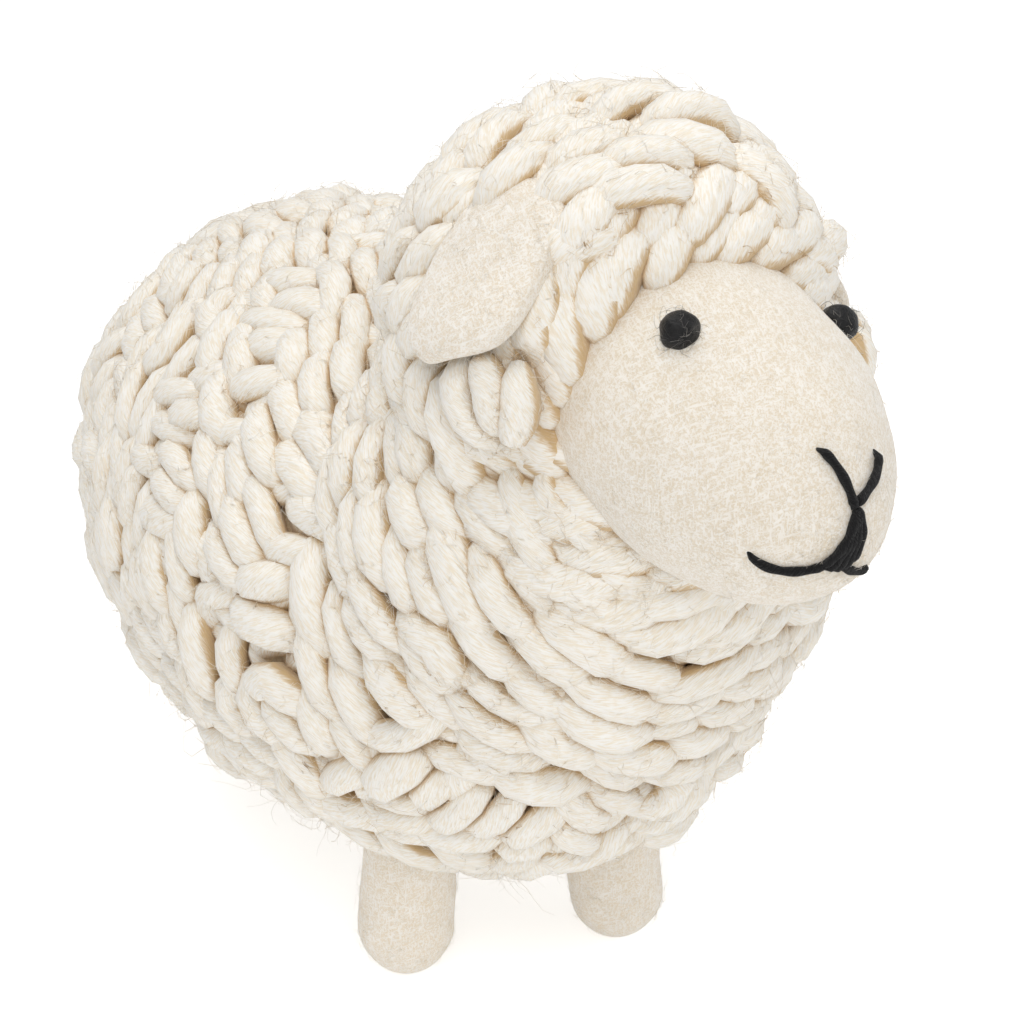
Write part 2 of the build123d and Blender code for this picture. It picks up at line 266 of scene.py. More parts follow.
@dataclass(frozen=True)
class EggForm(Form):
    """Egg of revolution on the head's long axis."""

    behind: float
    half_length: float
    radius: float

    def height(self, points: np.ndarray) -> np.ndarray:
        """Height above the ellipsoid, by its value over its slope."""
        local = HEAD_FRAME.into(points) - np.array([0, self.behind, 0])
        semi = np.array([self.radius, self.half_length, self.radius])
        value = np.maximum(np.linalg.norm(local / semi, axis=-1), 1e-6)
        slope = np.maximum(np.linalg.norm(local / semi**2, axis=-1) / value, 1e-6)
        return (value - 1) / slope

    def on_top(self, across: float, back: float, lift: float) -> np.ndarray:
        """Point over the upper side.

        Args:
            across: Place to the sheep's left.
            back: Place behind the egg's middle.
            lift: Height above the surface.

        Returns:
            The point in the sheep's frame.
        """
        left = 1 - (across / self.radius) ** 2 - (back / self.half_length) ** 2
        up = self.radius * np.sqrt(np.maximum(left, 0))
        return self.settle(HEAD_FRAME.out_of(np.stack([across, back + self.behind, up], axis=-1)), lift)


HEAD = EggForm(behind=0.0, half_length=32.4, radius=19.3)
CAP = EggForm(behind=20.5, half_length=33.5, radius=29.0)
BODY = BodyForm()
NECK = NeckForm()


@dataclass(frozen=True)
class WoolForm(Form):
    """All the yarn together: body, neck and cap, joined by a small fillet."""

    fillet: float = 3.0
    low: tuple[float, float, float] = (-52, -90, 8)
    high: tuple[float, float, float] = (52, 100, 150)
    trials: int = 60
    near: float = 5.0

    def height(self, points: np.ndarray) -> np.ndarray:
        """Smooth least of the three heights."""
        heights = np.stack([BODY.height(points), NECK.height(points), CAP.height(points)])
        least = heights.min(axis=0)
        return least - self.fillet * np.log(np.exp(-(heights - least) / self.fillet).sum(axis=0)) * 0.5

    def scatter(self, count: int, rng: np.random.Generator) -> np.ndarray:
        """Seeded places on the surface: random points of a box that lie near it, settled onto it."""
        trial = rng.uniform(self.low, self.high, (count * self.trials, 3))
        return self.settle(trial[np.abs(self.height(trial)) < self.near][:count])


WOOL = WoolForm()


@dataclass
class Shape:
    """Mesh in the making: points in millimetres, faces, places on the yarn and named values."""

    points: np.ndarray
    faces: list[np.ndarray]
    places: list[np.ndarray] = field(default_factory=list)
    values: dict[str, np.ndarray] = field(default_factory=dict)

    def join(self, other: "Shape") -> "Shape":
        """Both shapes as one, with the values that both have."""
        count = len(self.points)
        shared = [name for name in self.values if name in other.values]
        return Shape(
            np.concatenate([self.points, other.points]),
            self.faces + [face + count for face in other.faces],
            self.places + other.places,
            {name: np.concatenate([self.values[name], other.values[name]]) for name in shared},
        )

    def push(self, directions: np.ndarray, amounts: np.ndarray) -> None:
        """Moves each point along its direction by its amount."""
        self.points = self.points + directions * amounts[:, None]

    def make(self, name: str, finish: bpy.types.Material, rig: Rig, slot: Slot) -> bpy.types.Object:
        """Writes the mesh in metres and sets its material and body.

        Args:
            name: Name of the piece.
            finish: Its material.
            rig: Body that it rides on.
            slot: Slot of the record that its finish belongs to; not used.

        Returns:
            The new object.
        """
        mesh = bpy.data.meshes.new(name)
        mesh.vertices.add(len(self.points))
        mesh.vertices.foreach_set("co", (self.points * MM).astype(np.float32).ravel())
        loops = np.concatenate([face.ravel() for face in self.faces]).astype(np.int32)
        totals = np.concatenate([np.full(len(face), face.shape[1]) for face in self.faces])
        totals = totals.astype(np.int32)
        starts = np.concatenate([[0], np.cumsum(totals)[:-1]]).astype(np.int32)
        mesh.loops.add(len(loops))
        mesh.loops.foreach_set("vertex_index", loops)
        mesh.polygons.add(len(totals))
        mesh.polygons.foreach_set("loop_start", starts)
        mesh.polygons.foreach_set("loop_total", totals)
        mesh.polygons.foreach_set("use_smooth", np.ones(len(totals), bool))
        mesh.update(calc_edges=True)
        if self.places:
            flat = np.concatenate([place.reshape(-1, 2) for place in self.places])
            mesh.uv_layers.new(name="lay").data.foreach_set("uv", flat.astype(np.float32).ravel())
        for key, value in self.values.items():
            stored = mesh.attributes.new(key, "FLOAT", "POINT").data
            stored.foreach_set("value", value.astype(np.float32))
        mesh.materials.append(finish)
        piece = bpy.data.objects.new(name, mesh)
        bpy.context.scene.collection.objects.link(piece)
        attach(piece, rig.value)
        LOG.info("%s: %d points, %d faces", name, len(self.points), len(totals))
        return piece


def tubes(
    middles: np.ndarray, radii: np.ndarray, upward: np.ndarray, sides: int, flatten: float = 1.0
) -> Shape:
    """Closed tubes along many lines at once.

    A ring point is the middle plus the radius times the cosine along the side and the sine upward,
    where the side is square to the line and to the upward direction.

    Args:
        middles: Points of the lines, (lines, rings, 3).
        radii: Radius at each point, (lines, rings).
        upward: Direction away from the surface at each point, (lines, rings, 3).
        sides: Number of sides of each ring.
        flatten: Height of a ring as a share of its width.

    Returns:
        The shape, with places (share along, share round) on its side faces.
    """
    lines, rings, _ = middles.shape
    tangent = unit(np.gradient(middles, axis=1))
    side = unit(np.cross(upward, tangent))
    up = np.cross(tangent, side)
    turn = np.arange(sides) * (2 * np.pi / sides)
    spread = side[:, :, None] * np.cos(turn)[:, None] + up[:, :, None] * (np.sin(turn) * flatten)[:, None]
    points = middles[:, :, None] + spread * radii[:, :, None, None]
    index = np.arange(lines * rings * sides).reshape(lines, rings, sides)
    after = np.roll(index, -1, axis=2)
    quads = np.stack([index[:, :-1], after[:, :-1], after[:, 1:], index[:, 1:]], axis=-1).reshape(-1, 4)
    ring, spoke = np.meshgrid(np.arange(rings - 1), np.arange(sides), indexing="ij")
    along, around = ring / (rings - 1), spoke / sides
    next_along, next_around = (ring + 1) / (rings - 1), (spoke + 1) / sides
    corner_along = np.stack([along, along, next_along, next_along], axis=-1)
    corner_around = np.stack([around, next_around, next_around, around], axis=-1)
    corner = np.stack([corner_along, corner_around], axis=-1)
    place = np.broadcast_to(corner, (lines, *corner.shape))
    ends = np.concatenate([index[:, 0, ::-1], index[:, -1]])
    return Shape(points.reshape(-1, 3), [quads, ends], [place, np.zeros((len(ends), sides, 2))])


def ring_faces(rings: int, spokes: int) -> list[np.ndarray]:
    """Faces of a closed surface of rings, followed by a point before and a point after them all."""
    index = np.arange(rings * spokes).reshape(rings, spokes)
    after = np.roll(index, -1, axis=1)
    quads = np.stack([index[:-1], index[1:], after[1:], after[:-1]], axis=-1).reshape(-1, 4)
    first, last = np.full(spokes, index.size), np.full(spokes, index.size + 1)
    start = np.stack([first, index[0], after[0]], axis=-1)
    end = np.stack([last, after[-1], index[-1]], axis=-1)
    return [quads, start, end]


def turned(along: np.ndarray, out: np.ndarray, place: Placing, spokes: int) -> Shape:
    """Closed form turned about an axis, with a single point at each end.

    Args:
        along: Places along the axis, from one end to the other.
        out: Distance from the axis there, 0 at the two ends.
        place: Function from local points (out at 0 degrees, along, out at 90 degrees) to the frame.
        spokes: Number of points round the axis.

    Returns:
        The shape.
    """
    turn = np.arange(spokes) * (2 * np.pi / spokes)
    level = np.broadcast_to(along[1:-1, None], (len(along) - 2, spokes))
    rings = np.stack([out[1:-1, None] * np.cos(turn), level, out[1:-1, None] * np.sin(turn)], axis=-1)
    ends = np.array([[0, along[0], 0], [0, along[-1], 0]])
    points = place(np.concatenate([rings.reshape(-1, 3), ends]))
    return Shape(points, ring_faces(len(rings), spokes))


def egg(half_length: float, radius: float, steps: int, place: Placing, spokes: int) -> Shape:
    """Closed ellipsoid of revolution, with a number of steps from end to end."""
    turn = np.linspace(0, np.pi, steps)
    out = radius * np.sin(turn)
    out[[0, -1]] = 0
    return turned(-half_length * np.cos(turn), out, place, spokes)


class Nodes:
    """Short hand for making a node tree."""

    def __init__(self, tree: bpy.types.NodeTree) -> None:
        """Keeps the tree and empties it."""
        self.tree = tree
        tree.nodes.clear()

    def add(self, kind: str, inputs: dict | None = None, **settings) -> bpy.types.Node:
        """Adds a node.

        Args:
            kind: Type of the node.
            inputs: Input name or number to a value, or to a socket to link.
            settings: Properties of the node.

        Returns:
            The node.
        """
        node = self.tree.nodes.new(kind)
        for key, value in settings.items():
            setattr(node, key, value)
        for key, value in (inputs or {}).items():
            if isinstance(value, bpy.types.NodeSocket):
                self.tree.links.new(value, node.inputs[key])
            else:
                node.inputs[key].default_value = value
        return node

    def math(self, operation: str, first, second=0.0) -> bpy.types.NodeSocket:
        """Result of one operation on two values or sockets."""
        return self.add("ShaderNodeMath", {0: first, 1: second}, operation=operation).outputs[0]

    def plus(self, first, second) -> bpy.types.NodeSocket:
        """Sum of two values or sockets."""
        return self.math("ADD", first, second)

    def times(self, first, second) -> bpy.types.NodeSocket:
        """Product of two values or sockets."""
        return self.math("MULTIPLY", first, second)

    def mix(self, factor, first, second) -> bpy.types.NodeSocket:
        """Colour between two colours."""
        return self.add("ShaderNodeMix", {0: factor, 6: first, 7: second}, data_type="RGBA").outputs[2]

    def ramp(self, value, low: float, high: float) -> bpy.types.NodeSocket:
        """Value carried from low..high to 0..1, smooth at both ends."""
        inputs = {"Value": value, "From Min": low, "From Max": high}
        return self.add("ShaderNodeMapRange", inputs, interpolation_type="SMOOTHSTEP").outputs[0]

    def noise(self, vector, scale: float, detail: float, distortion: float = 0.0) -> bpy.types.NodeSocket:
        """Noise over places, about 0.5 in the mean."""
        inputs = {"Vector": vector, "Scale": scale, "Detail": detail, "Distortion": distortion}
        return self.add("ShaderNodeTexNoise", inputs).outputs[0]

    def bump(self, height, distance) -> bpy.types.NodeSocket:
        """Normal that follows a height, at full strength."""
        inputs = {"Height": height, "Distance": distance, "Strength": 1.0}
        return self.add("ShaderNodeBump", inputs).outputs[0]

    def own(self, name: str) -> bpy.types.NodeSocket:
        """Named value of the mesh."""
        return self.add("ShaderNodeAttribute", attribute_name=name).outputs["Fac"]

    def place(self) -> bpy.types.NodeSocket:
        """Place on the object, in metres."""
        return self.add("ShaderNodeTexCoord").outputs["Object"]

    def surface(self, inputs: dict) -> bpy.types.Node:
        """Principled shader."""
        return self.add("ShaderNodeBsdfPrincipled", inputs)


@dataclass(frozen=True)
class Finish:
    """Look of a material."""

    name: str

    def shader(self, nodes: Nodes) -> bpy.types.Node:
        """Adds the nodes of the look and returns its shader."""
        raise NotImplementedError

    def make(self) -> bpy.types.Material:
        """New material with this look."""
        material = bpy.data.materials.new(self.name)
        material.use_nodes = True
        nodes = Nodes(material.node_tree)
        nodes.add("ShaderNodeOutputMaterial", {"Surface": self.shader(nodes).outputs[0]})
        return material


def fibre_group() -> None:
    """Makes the shared effect of matted wool fibres on a surface, from Object coordinates.

    Noises stretched in four directions are cut to short strokes that cross each other over soft clumps.
    The group has inputs Size (metres) and Depth, and outputs Lines, Clumps and Normal.
    """
    group = bpy.data.node_groups.new(FIBRES, "ShaderNodeTree")
    for name, value in (("Size", 0.001), ("Depth", 0.0002)):
        socket = group.interface.new_socket(name, in_out="INPUT", socket_type="NodeSocketFloat")
        socket.default_value = value
    for name, kind in (("Lines", "Float"), ("Clumps", "Float"), ("Normal", "Vector")):
        group.interface.new_socket(name, in_out="OUTPUT", socket_type=f"NodeSocket{kind}")
    nodes = Nodes(group)
    given = nodes.add("NodeGroupInput")
    scale = nodes.math("DIVIDE", 1.0, given.outputs["Size"])
    scaled = nodes.add("ShaderNodeVectorMath", {0: nodes.place(), 3: scale}, operation="SCALE").outputs[0]
    clumps = nodes.noise(scaled, 0.12, 3.0)
    strokes = []
    for turn in ((0.0, 0.0, 0.0), (1.1, 0.3, 0.7), (0.5, 1.2, 1.9), (1.8, 0.7, 2.8)):
        leaning = {"Vector": scaled, "Rotation": turn, "Scale": (1.0, 1.0, 6.0)}
        leant = nodes.add("ShaderNodeMapping", leaning, vector_type="TEXTURE").outputs[0]
        strokes.append(nodes.ramp(nodes.noise(leant, 0.8, 1.0, 0.8), 0.5, 0.68))
    lines = reduce(lambda first, second: nodes.math("MAXIMUM", first, second), strokes)
    normal = nodes.bump(nodes.plus(lines, nodes.times(clumps, 2.0)), given.outputs["Depth"])
    nodes.add("NodeGroupOutput", {"Lines": lines, "Clumps": clumps, "Normal": normal})


@dataclass(frozen=True)
class FeltFinish(Finish):
    """Needle-felted wool."""

    light: Tone
    dark: Tone
    size: float = 0.24
    depth: float = 0.02
    sheen: float = 0.4
    roughness: float = 0.95
    shine: float = 0.1

    def shader(self, nodes: Nodes) -> bpy.types.Node:
        """Matted fibres in two tones, by the shared effect."""
        sizes = {"Size": self.size * MM, "Depth": self.depth * MM}
        matted = nodes.add("ShaderNodeGroup", sizes, node_tree=bpy.data.node_groups[FIBRES])
        clump = nodes.times(nodes.ramp(matted.outputs["Clumps"], 0.3, 0.7), 0.2)
        tone = nodes.plus(clump, nodes.times(matted.outputs["Lines"], 0.8))
        look = {
            "Base Color": nodes.mix(tone, self.dark.linear(), self.light.linear()),
            "Roughness": self.roughness,
            "Specular IOR Level": self.shine,
            "Sheen Weight": self.sheen,
            "Sheen Roughness": 0.6,
            "Normal": matted.outputs["Normal"],
        }
        return nodes.surface(look)


@dataclass(frozen=True)
class YarnFinish(Finish):
    """Twisted yarn whose fibres wind round each strand, with painted shade that makes it darker in the
    creases between strands.
    """

    crest: Tone
    under: Tone
    # tone of the painted shade in the creases and low on each strand
    crease: Tone
    twist: float = 0.9
    lines: float = 30.0
    relief: float = 0.06
    sheen: float = 0.3
    # reach of the occlusion that paints shade near other strands
    reach: float = 2.1

    def wound(self, nodes: Nodes) -> bpy.types.NodeSocket:
        """Places for the noises: round the strand, twisted along it, and apart for each strand."""
        lay = nodes.add("ShaderNodeUVMap", uv_map="lay").outputs[0]
        along, around = nodes.add("ShaderNodeSeparateXYZ", {0: lay}).outputs[:2]
        angle = nodes.times(nodes.plus(around, nodes.times(along, self.twist)), 2 * np.pi)
        radius = self.lines / 6.28
        apart = nodes.times(nodes.own("chance"), 97.0)
        across = nodes.plus(nodes.times(nodes.math("COSINE", angle), radius), apart)
        up = nodes.times(nodes.math("SINE", angle), radius)
        return nodes.add("ShaderNodeCombineXYZ", {0: across, 1: up, 2: nodes.times(along, 9.0)}).outputs[0]

    def shader(self, nodes: Nodes) -> bpy.types.Node:
        """Wound fibres, with the crease tone painted as shade low on a strand and close to other strands."""
        wound = self.wound(nodes)
        coarse, fine = nodes.noise(wound, 0.8, 2.0), nodes.noise(wound, 2.6, 2.0, 0.4)
        height = nodes.plus(nodes.times(coarse, 1.6), fine)
        uneven = nodes.times(nodes.math("SUBTRACT", fine, 0.5), 0.5)
        # painted shade: ambient occlusion from nearby strands pulls the colour towards the crease tone
        reach = {"Distance": self.reach * MM}
        beside = nodes.add("ShaderNodeAmbientOcclusion", reach, samples=6).outputs["AO"]
        # painted shade: the sink value darkens the sides, underside and deep parts of each strand
        high = nodes.ramp(nodes.plus(nodes.own("sink"), uneven), -0.02, 0.34)
        clear = nodes.ramp(nodes.plus(beside, uneven), 0.16, 0.72)
        crest = nodes.mix(nodes.ramp(fine, 0.34, 0.6), self.under.linear(), self.crest.linear())
        look = {
            "Base Color": nodes.mix(nodes.math("MINIMUM", high, clear), self.crease.linear(), crest),
            "Roughness": 0.85,
            "Specular IOR Level": 0.15,
            "Sheen Weight": self.sheen,
            "Sheen Roughness": 0.5,
            "Normal": nodes.bump(height, self.relief * MM * 2),
        }
        return nodes.surface(look)


@dataclass(frozen=True)
class FibreFinish(Finish):
    """Loose single fibres that let part of the light through."""

    light: Tone
    dark: Tone
    clear: float = 0.5

    def shader(self, nodes: Nodes) -> bpy.types.Node:
        """Tone that differs from fibre to fibre."""
        colour = nodes.mix(nodes.own("chance"), self.dark.linear(), self.light.linear())
        look = {"Base Color": colour, "Roughness": 0.7, "Specular IOR Level": 0.2, "Sheen Weight": 0.3}
        skin = nodes.surface(look).outputs[0]
        through = nodes.add("ShaderNodeBsdfTranslucent", {"Color": colour}).outputs[0]
        return nodes.add("ShaderNodeMixShader", {0: self.clear, 1: skin, 2: through})


@dataclass(frozen=True)
class WoodFinish(Finish):
    """Plain turned wood of the dowels."""

    name: str = "dowel_beech"
    light: Tone = Tone(214, 178, 130)
    dark: Tone = Tone(176, 134, 88)

    def shader(self, nodes: Nodes) -> bpy.types.Node:
        """Growth rings stretched along Z, and short flecks."""
        stretch = {"Vector": nodes.place(), "Scale": (1.0, 1.0, 0.12)}
        long = nodes.add("ShaderNodeMapping", stretch).outputs[0]
        rings, flecks = nodes.noise(long, 900.0, 4.0, 0.8), nodes.noise(long, 4200.0, 1.0)
        worn = nodes.times(nodes.ramp(flecks, 0.7, 0.6), -0.3)
        tone = nodes.plus(nodes.ramp(rings, 0.35, 0.65), worn)
        colour = nodes.mix(tone, self.dark.linear(), self.light.linear())
        look = {"Base Color": colour, "Roughness": 0.6, "Normal": nodes.bump(flecks, 0.05 * MM)}
        return nodes.surface(look)


@dataclass(frozen=True)
class FloorFinish(Finish):
    """White studio floor that glows a little more where the camera sees it."""

    name: str = "studio_white"
    glow: float = 0.2
    seen_glow: float = 0.3

    def shader(self, nodes: Nodes) -> bpy.types.Node:
        """Faint grain in two whites, lit from within."""
        grain = nodes.noise(nodes.place(), 30.0, 2.0)
        seen = nodes.add("ShaderNodeLightPath").outputs["Is Camera Ray"]
        look = {
            "Base Color": nodes.mix(grain, (0.93, 0.93, 0.93, 1), (0.95, 0.95, 0.95, 1)),
            "Roughness": 1.0,
            "Specular IOR Level": 0.0,
            "Emission Color": (1, 1, 1, 1),
            "Emission Strength": nodes.plus(nodes.times(seen, self.seen_glow), self.glow),
        }
        return nodes.surface(look)


class Finishes:
    """All materials of the sheep."""

    def __init__(self) -> None:
        """Makes each material once."""
        fibre_group()
        # crest, under and crease tones of the yarn; the crease tone is painted shade
        cream = Tone(249, 247, 242), Tone(241, 232, 215), Tone(212, 184, 142)
        self.yarn = YarnFinish("cream_yarn", *cream).make()
        # painted shade: the base is darker tan than the yarn, so the gaps between strands look shaded
        self.yarn_base = FeltFinish("yarn_base", Tone(222, 202, 170), Tone(196, 168, 128)).make()
        self.fluff = FibreFinish("cream_fluff", Tone(255, 253, 249), Tone(244, 232, 212)).make()
        # painted shade: fibres low in the creases are darker tan than the fibres on the crests
        self.crease_fluff = FibreFinish("crease_fluff", Tone(238, 220, 188), Tone(208, 178, 132)).make()
        self.felt_fluff = FibreFinish("felt_fluff", Tone(255, 254, 251), Tone(248, 240, 226)).make()
        self.face = FeltFinish("face_felt", Tone(243, 239, 232), Tone(223, 210, 188)).make()
        self.leg = FeltFinish("leg_felt", Tone(252, 248, 241), Tone(235, 221, 198)).make()
        self.ear = FeltFinish("ear_felt", Tone(244, 241, 235), Tone(225, 212, 191)).make()
        self.core = FeltFinish("core_felt", Tone(236, 226, 208), Tone(214, 198, 174)).make()
        self.thread = FeltFinish("ear_thread", Tone(238, 228, 210), Tone(206, 190, 164), size=0.3).make()
        black = {"size": 0.3, "depth": 0.05, "sheen": 0.03, "roughness": 0.42, "shine": 0.3}
        self.black = FeltFinish("black_wool", Tone(22, 22, 24), Tone(6, 6, 7), **black).make()
        tight = {"twist": 3.0, "lines": 14.0, "relief": 0.12, "sheen": 0.12}
        # the black yarn's crease tone is painted shade, like the cream yarn's
        tones = Tone(26, 26, 28), Tone(14, 14, 15), Tone(8, 8, 9)
        self.black_yarn = YarnFinish("black_yarn", *tones, **tight).make()
        self.grey_fluff = FibreFinish("grey_fluff", Tone(190, 186, 180), Tone(60, 58, 58)).make()
        self.wood = WoodFinish().make()


@dataclass(frozen=True)
class EarPlace:
    """Place of one ear's root on the cap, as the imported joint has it."""

    side: Side
    angle: float
    behind: float
    sweep: float = 25.0
    rise: float = 1.2
    thickness: float = 4.4
    cover_low: tuple[float, float, float] = (-5.6, -4.6, -13.0)
    cover_high: tuple[float, float, float] = (12.0, 21.0, 5.0)

    def axes(self) -> tuple[np.ndarray, np.ndarray, np.ndarray]:
        """Unit vectors of the ear: back along its root, down its leaf and out of the cap."""
        left, back, up = HEAD_FRAME.axes()
        turn, sweep = np.radians(self.angle), np.radians(self.sweep)
        out = left * (self.side.value * np.sin(turn)) + up * np.cos(turn)
        fall = left * (self.side.value * np.cos(turn)) - up * np.sin(turn)
        root = back * np.cos(sweep) + fall * np.sin(sweep)
        return root, fall * np.cos(sweep) - back * np.sin(sweep), out

    def top(self) -> np.ndarray:
        """Point on the outer face of the root."""
        return HEAD_FRAME.out_of([0, CAP.behind + self.behind, 0]) + self.axes()[2] * (CAP.radius + self.rise)

    def covers(self, points: np.ndarray) -> np.ndarray:
        """True for points in the ear's box: along its root, down its leaf and out."""
        local = (points - self.top()) @ np.stack(self.axes()).T
        return ((local > self.cover_low) & (local < self.cover_high)).all(axis=-1)


EARS = (EarPlace(Side.RIGHT, 47.3, -3.0), EarPlace(Side.LEFT, 60.0, 3.0))


@dataclass(frozen=True)
class LegPlace:
    """Place of one leg."""

    name: str
    foot_x: float
    foot_y: float
    reach: float
    foot_z: float = -0.5
    splay: float = 4.0

    def foot(self) -> np.ndarray:
        """Lowest point of the leg's axis."""
        return np.array([self.foot_x, self.foot_y, self.foot_z])

    def axis(self) -> np.ndarray:
        """Unit direction from the foot up into the body."""
        lean = np.radians(self.splay) * np.sign(self.foot_x)
        return np.array([-np.sin(lean), 0, np.cos(lean)])

    def aside(self, points: np.ndarray) -> np.ndarray:
        """Vectors from the leg's axis square to it to points."""
        offset = points - self.foot()
        return offset - (offset @ self.axis())[..., None] * self.axis()


LEGS = (
    LegPlace("front_right", -17.511, -9.402, 35.8),
    LegPlace("front_left", 17.511, -17.028, 38.4),
    LegPlace("rear_right", -10.53, 60.672, 37.7),
    LegPlace("rear_left", 10.53, 60.672, 37.7),
)


@dataclass(frozen=True)
class StrandSize:
    """Usual size of the strands of one region."""

    length: float
    radius: float
    spacing_along: float
    spacing_across: float


@dataclass
class Patches:
    """Patches of neighbouring strands, each turned by its own amount."""

    middles: np.ndarray
    turns: np.ndarray

    def turn_at(self, points: np.ndarray) -> np.ndarray:
        """Turn of the nearest patch for each point, in radians."""
        nearest = np.linalg.norm(points[:, None] - self.middles[None], axis=-1).argmin(axis=1)
        return self.turns[nearest]


@dataclass
class Fleece:
    """Yarn of the body, neck and cap: hundreds of spindle-shaped strands over a felted base."""

    upper_count: int = 860
    lower_count: int = 760
    lower_sink: float = 2.2
    lower_turn: float = 0.5
    ear_sink: float = 4.2
    rings: int = 9
    sides: int = 8
    rounds: int = 34
    patch_count: int = 210
    patch_turn: float = 60.0
    flank_slant: float = 28.0
    rump_slant: float = 40.0
    neck_calm: float = 0.6
    length_spread: tuple[float, float] = (0.8, 1.2)
    radius_spread: tuple[float, float] = (0.78, 1.16)
    curled_share: float = 0.07
    curled_bend: float = 0.13
    stray_bend: float = 0.022
    rise: float = 0.3
    rise_spread: float = 0.6
    curled_rise: float = 0.8
    cap_rise: float = 1.2
    end_dive: float = 4.4
    hairline: float = 10.5
    face_room: float = 2.4
    cap_room: float = 1.5
    leg_room: float = 8.4
    leg_top: float = 60.0
    bun_place: tuple[float, float, float] = (26.4, 56.6, 116.0)
    bun_room: float = 7.5
    bun_height: float = 115.8
    bun_tilt: float = 2.4
    relief: Ripple = Ripple(7.0, 0.5, 3)
    base_depth: float = 3.6
    cap_depth: float = 5.4
    body: StrandSize = StrandSize(17.4, 3.05, 12.2, 5.3)
    neck: StrandSize = StrandSize(18.0, 3.05, 12.8, 5.6)
    cap: StrandSize = StrandSize(16.0, 3.1, 10.2, 5.0)
    seed: int = 11

    def region_weights(self, points: np.ndarray) -> np.ndarray:
        """Weights of body, neck and cap at points, by which form lies outermost there."""
        heights = np.stack([BODY.height(points), NECK.height(points), CAP.height(points)], axis=-1)
        weights = np.exp(-heights / 1.5)
        return weights / weights.sum(axis=-1, keepdims=True)

    def sizes(self, points: np.ndarray) -> np.ndarray:
        """Length, radius and the two spacings at points, blended by region."""
        regions = (self.body, self.neck, self.cap)
        table = np.array([[s.length, s.radius, s.spacing_along, s.spacing_across] for s in regions])
        return self.region_weights(points) @ table

    def lay(self, points: np.ndarray, outward: np.ndarray, patches: Patches) -> np.ndarray:
        """Direction in which the strand at each point lies.

        On the body it runs along the back, slants down the flanks, stands steeper towards the rump and
        goes level round the chest. On the neck and the cap it goes round their axes. Each patch of
        neighbouring strands is turned by its own amount, less so on the neck.

        Args:
            points: Places on the surface.
            outward: Outward directions there.
            patches: The patches.

        Returns:
            Unit directions in the surface.
        """
        rear = unit(tangential(np.array([0, 1, 0]), outward))
        up = np.cross(outward, rear) * np.where(points[:, :1] < 0, -1, 1)
        steep = smooth_step(10, 70, points[:, 1]) * self.rump_slant + self.flank_slant
        steep = np.radians(steep * (1 - smooth_step(0.6, 0.95, outward[:, 2])))[:, None]
        flank = rear * np.cos(steep) + up * np.sin(steep)
        level = agreeing(unit(np.cross(outward, [0, 0, 1])), flank)
        chest = smooth_step(0.3, 0.65, -outward[:, 1])[:, None]
        on_body = flank * (1 - chest) + level * chest
        round_neck = agreeing(unit(np.cross(outward, NECK.axis())), on_body)
        round_cap = agreeing(unit(np.cross(outward, HEAD_FRAME.axes()[1])), on_body)
        weights = self.region_weights(points)
        mean = weights[:, :1] * on_body + weights[:, 1:2] * round_neck + weights[:, 2:] * round_cap
        turn = (patches.turn_at(points) * (1 - self.neck_calm * weights[:, 1]))[:, None]
        return swung(unit(tangential(mean, outward)), outward, turn)

    def free(self, points: np.ndarray) -> np.ndarray:
        """True where a strand may lie: not in the face, in a leg or in the bun under an ear."""
        ahead = HEAD_FRAME.into(points)[:, 1] < self.hairline
        clear = (HEAD.height(points) > self.face_room) & ~(ahead & (CAP.height(points) < self.cap_room))
        for leg in LEGS:
            beside = np.linalg.norm(leg.aside(points), axis=-1) > self.leg_room
            clear &= beside | (points[:, 2] > self.leg_top)
        from_bun = np.linalg.norm(np.abs(points) - np.array(self.bun_place), axis=1)
        return clear & ((from_bun > self.bun_room) | (points[:, 1] > 0))

    def spread(self, count: int, rng: np.random.Generator, patches: Patches) -> np.ndarray:
        """Even places for one layer of strands.

        Strands push each other apart where they lie closer than their spacing, measured along and
        across their own direction, and settle back on the surface after each push.

        Args:
            count: Number of strands before those that aren't free are left out.
            rng: Source of chance.
            patches: The patches.

        Returns:
            Places of the strands.
        """
        places = WOOL.scatter(count, rng)
        for step in range(self.rounds):
            outward = WOOL.outward(places)
            lay = self.lay(places, outward, patches)
            sizes = self.sizes(places)
            gap = places[None] - places[:, None]
            along = (gap * lay[:, None]).sum(-1)
            distance = np.linalg.norm(gap, axis=-1)
            across = np.sqrt(np.maximum(distance**2 - along**2, 0))
            reach = np.sqrt((along / sizes[:, None, 2]) ** 2 + (across / sizes[:, None, 3]) ** 2)
            push = np.maximum(1 - reach, 0) * (reach > 1e-6)
            shove = -(gap / np.maximum(distance, 1e-6)[..., None] * push[..., None]).sum(axis=1)
            shove = tangential(shove, outward)
            places = WOOL.settle(places + shove * sizes[:, 3:] * (0.5 - 0.008 * step), rounds=2)
        return places[self.free(places)]

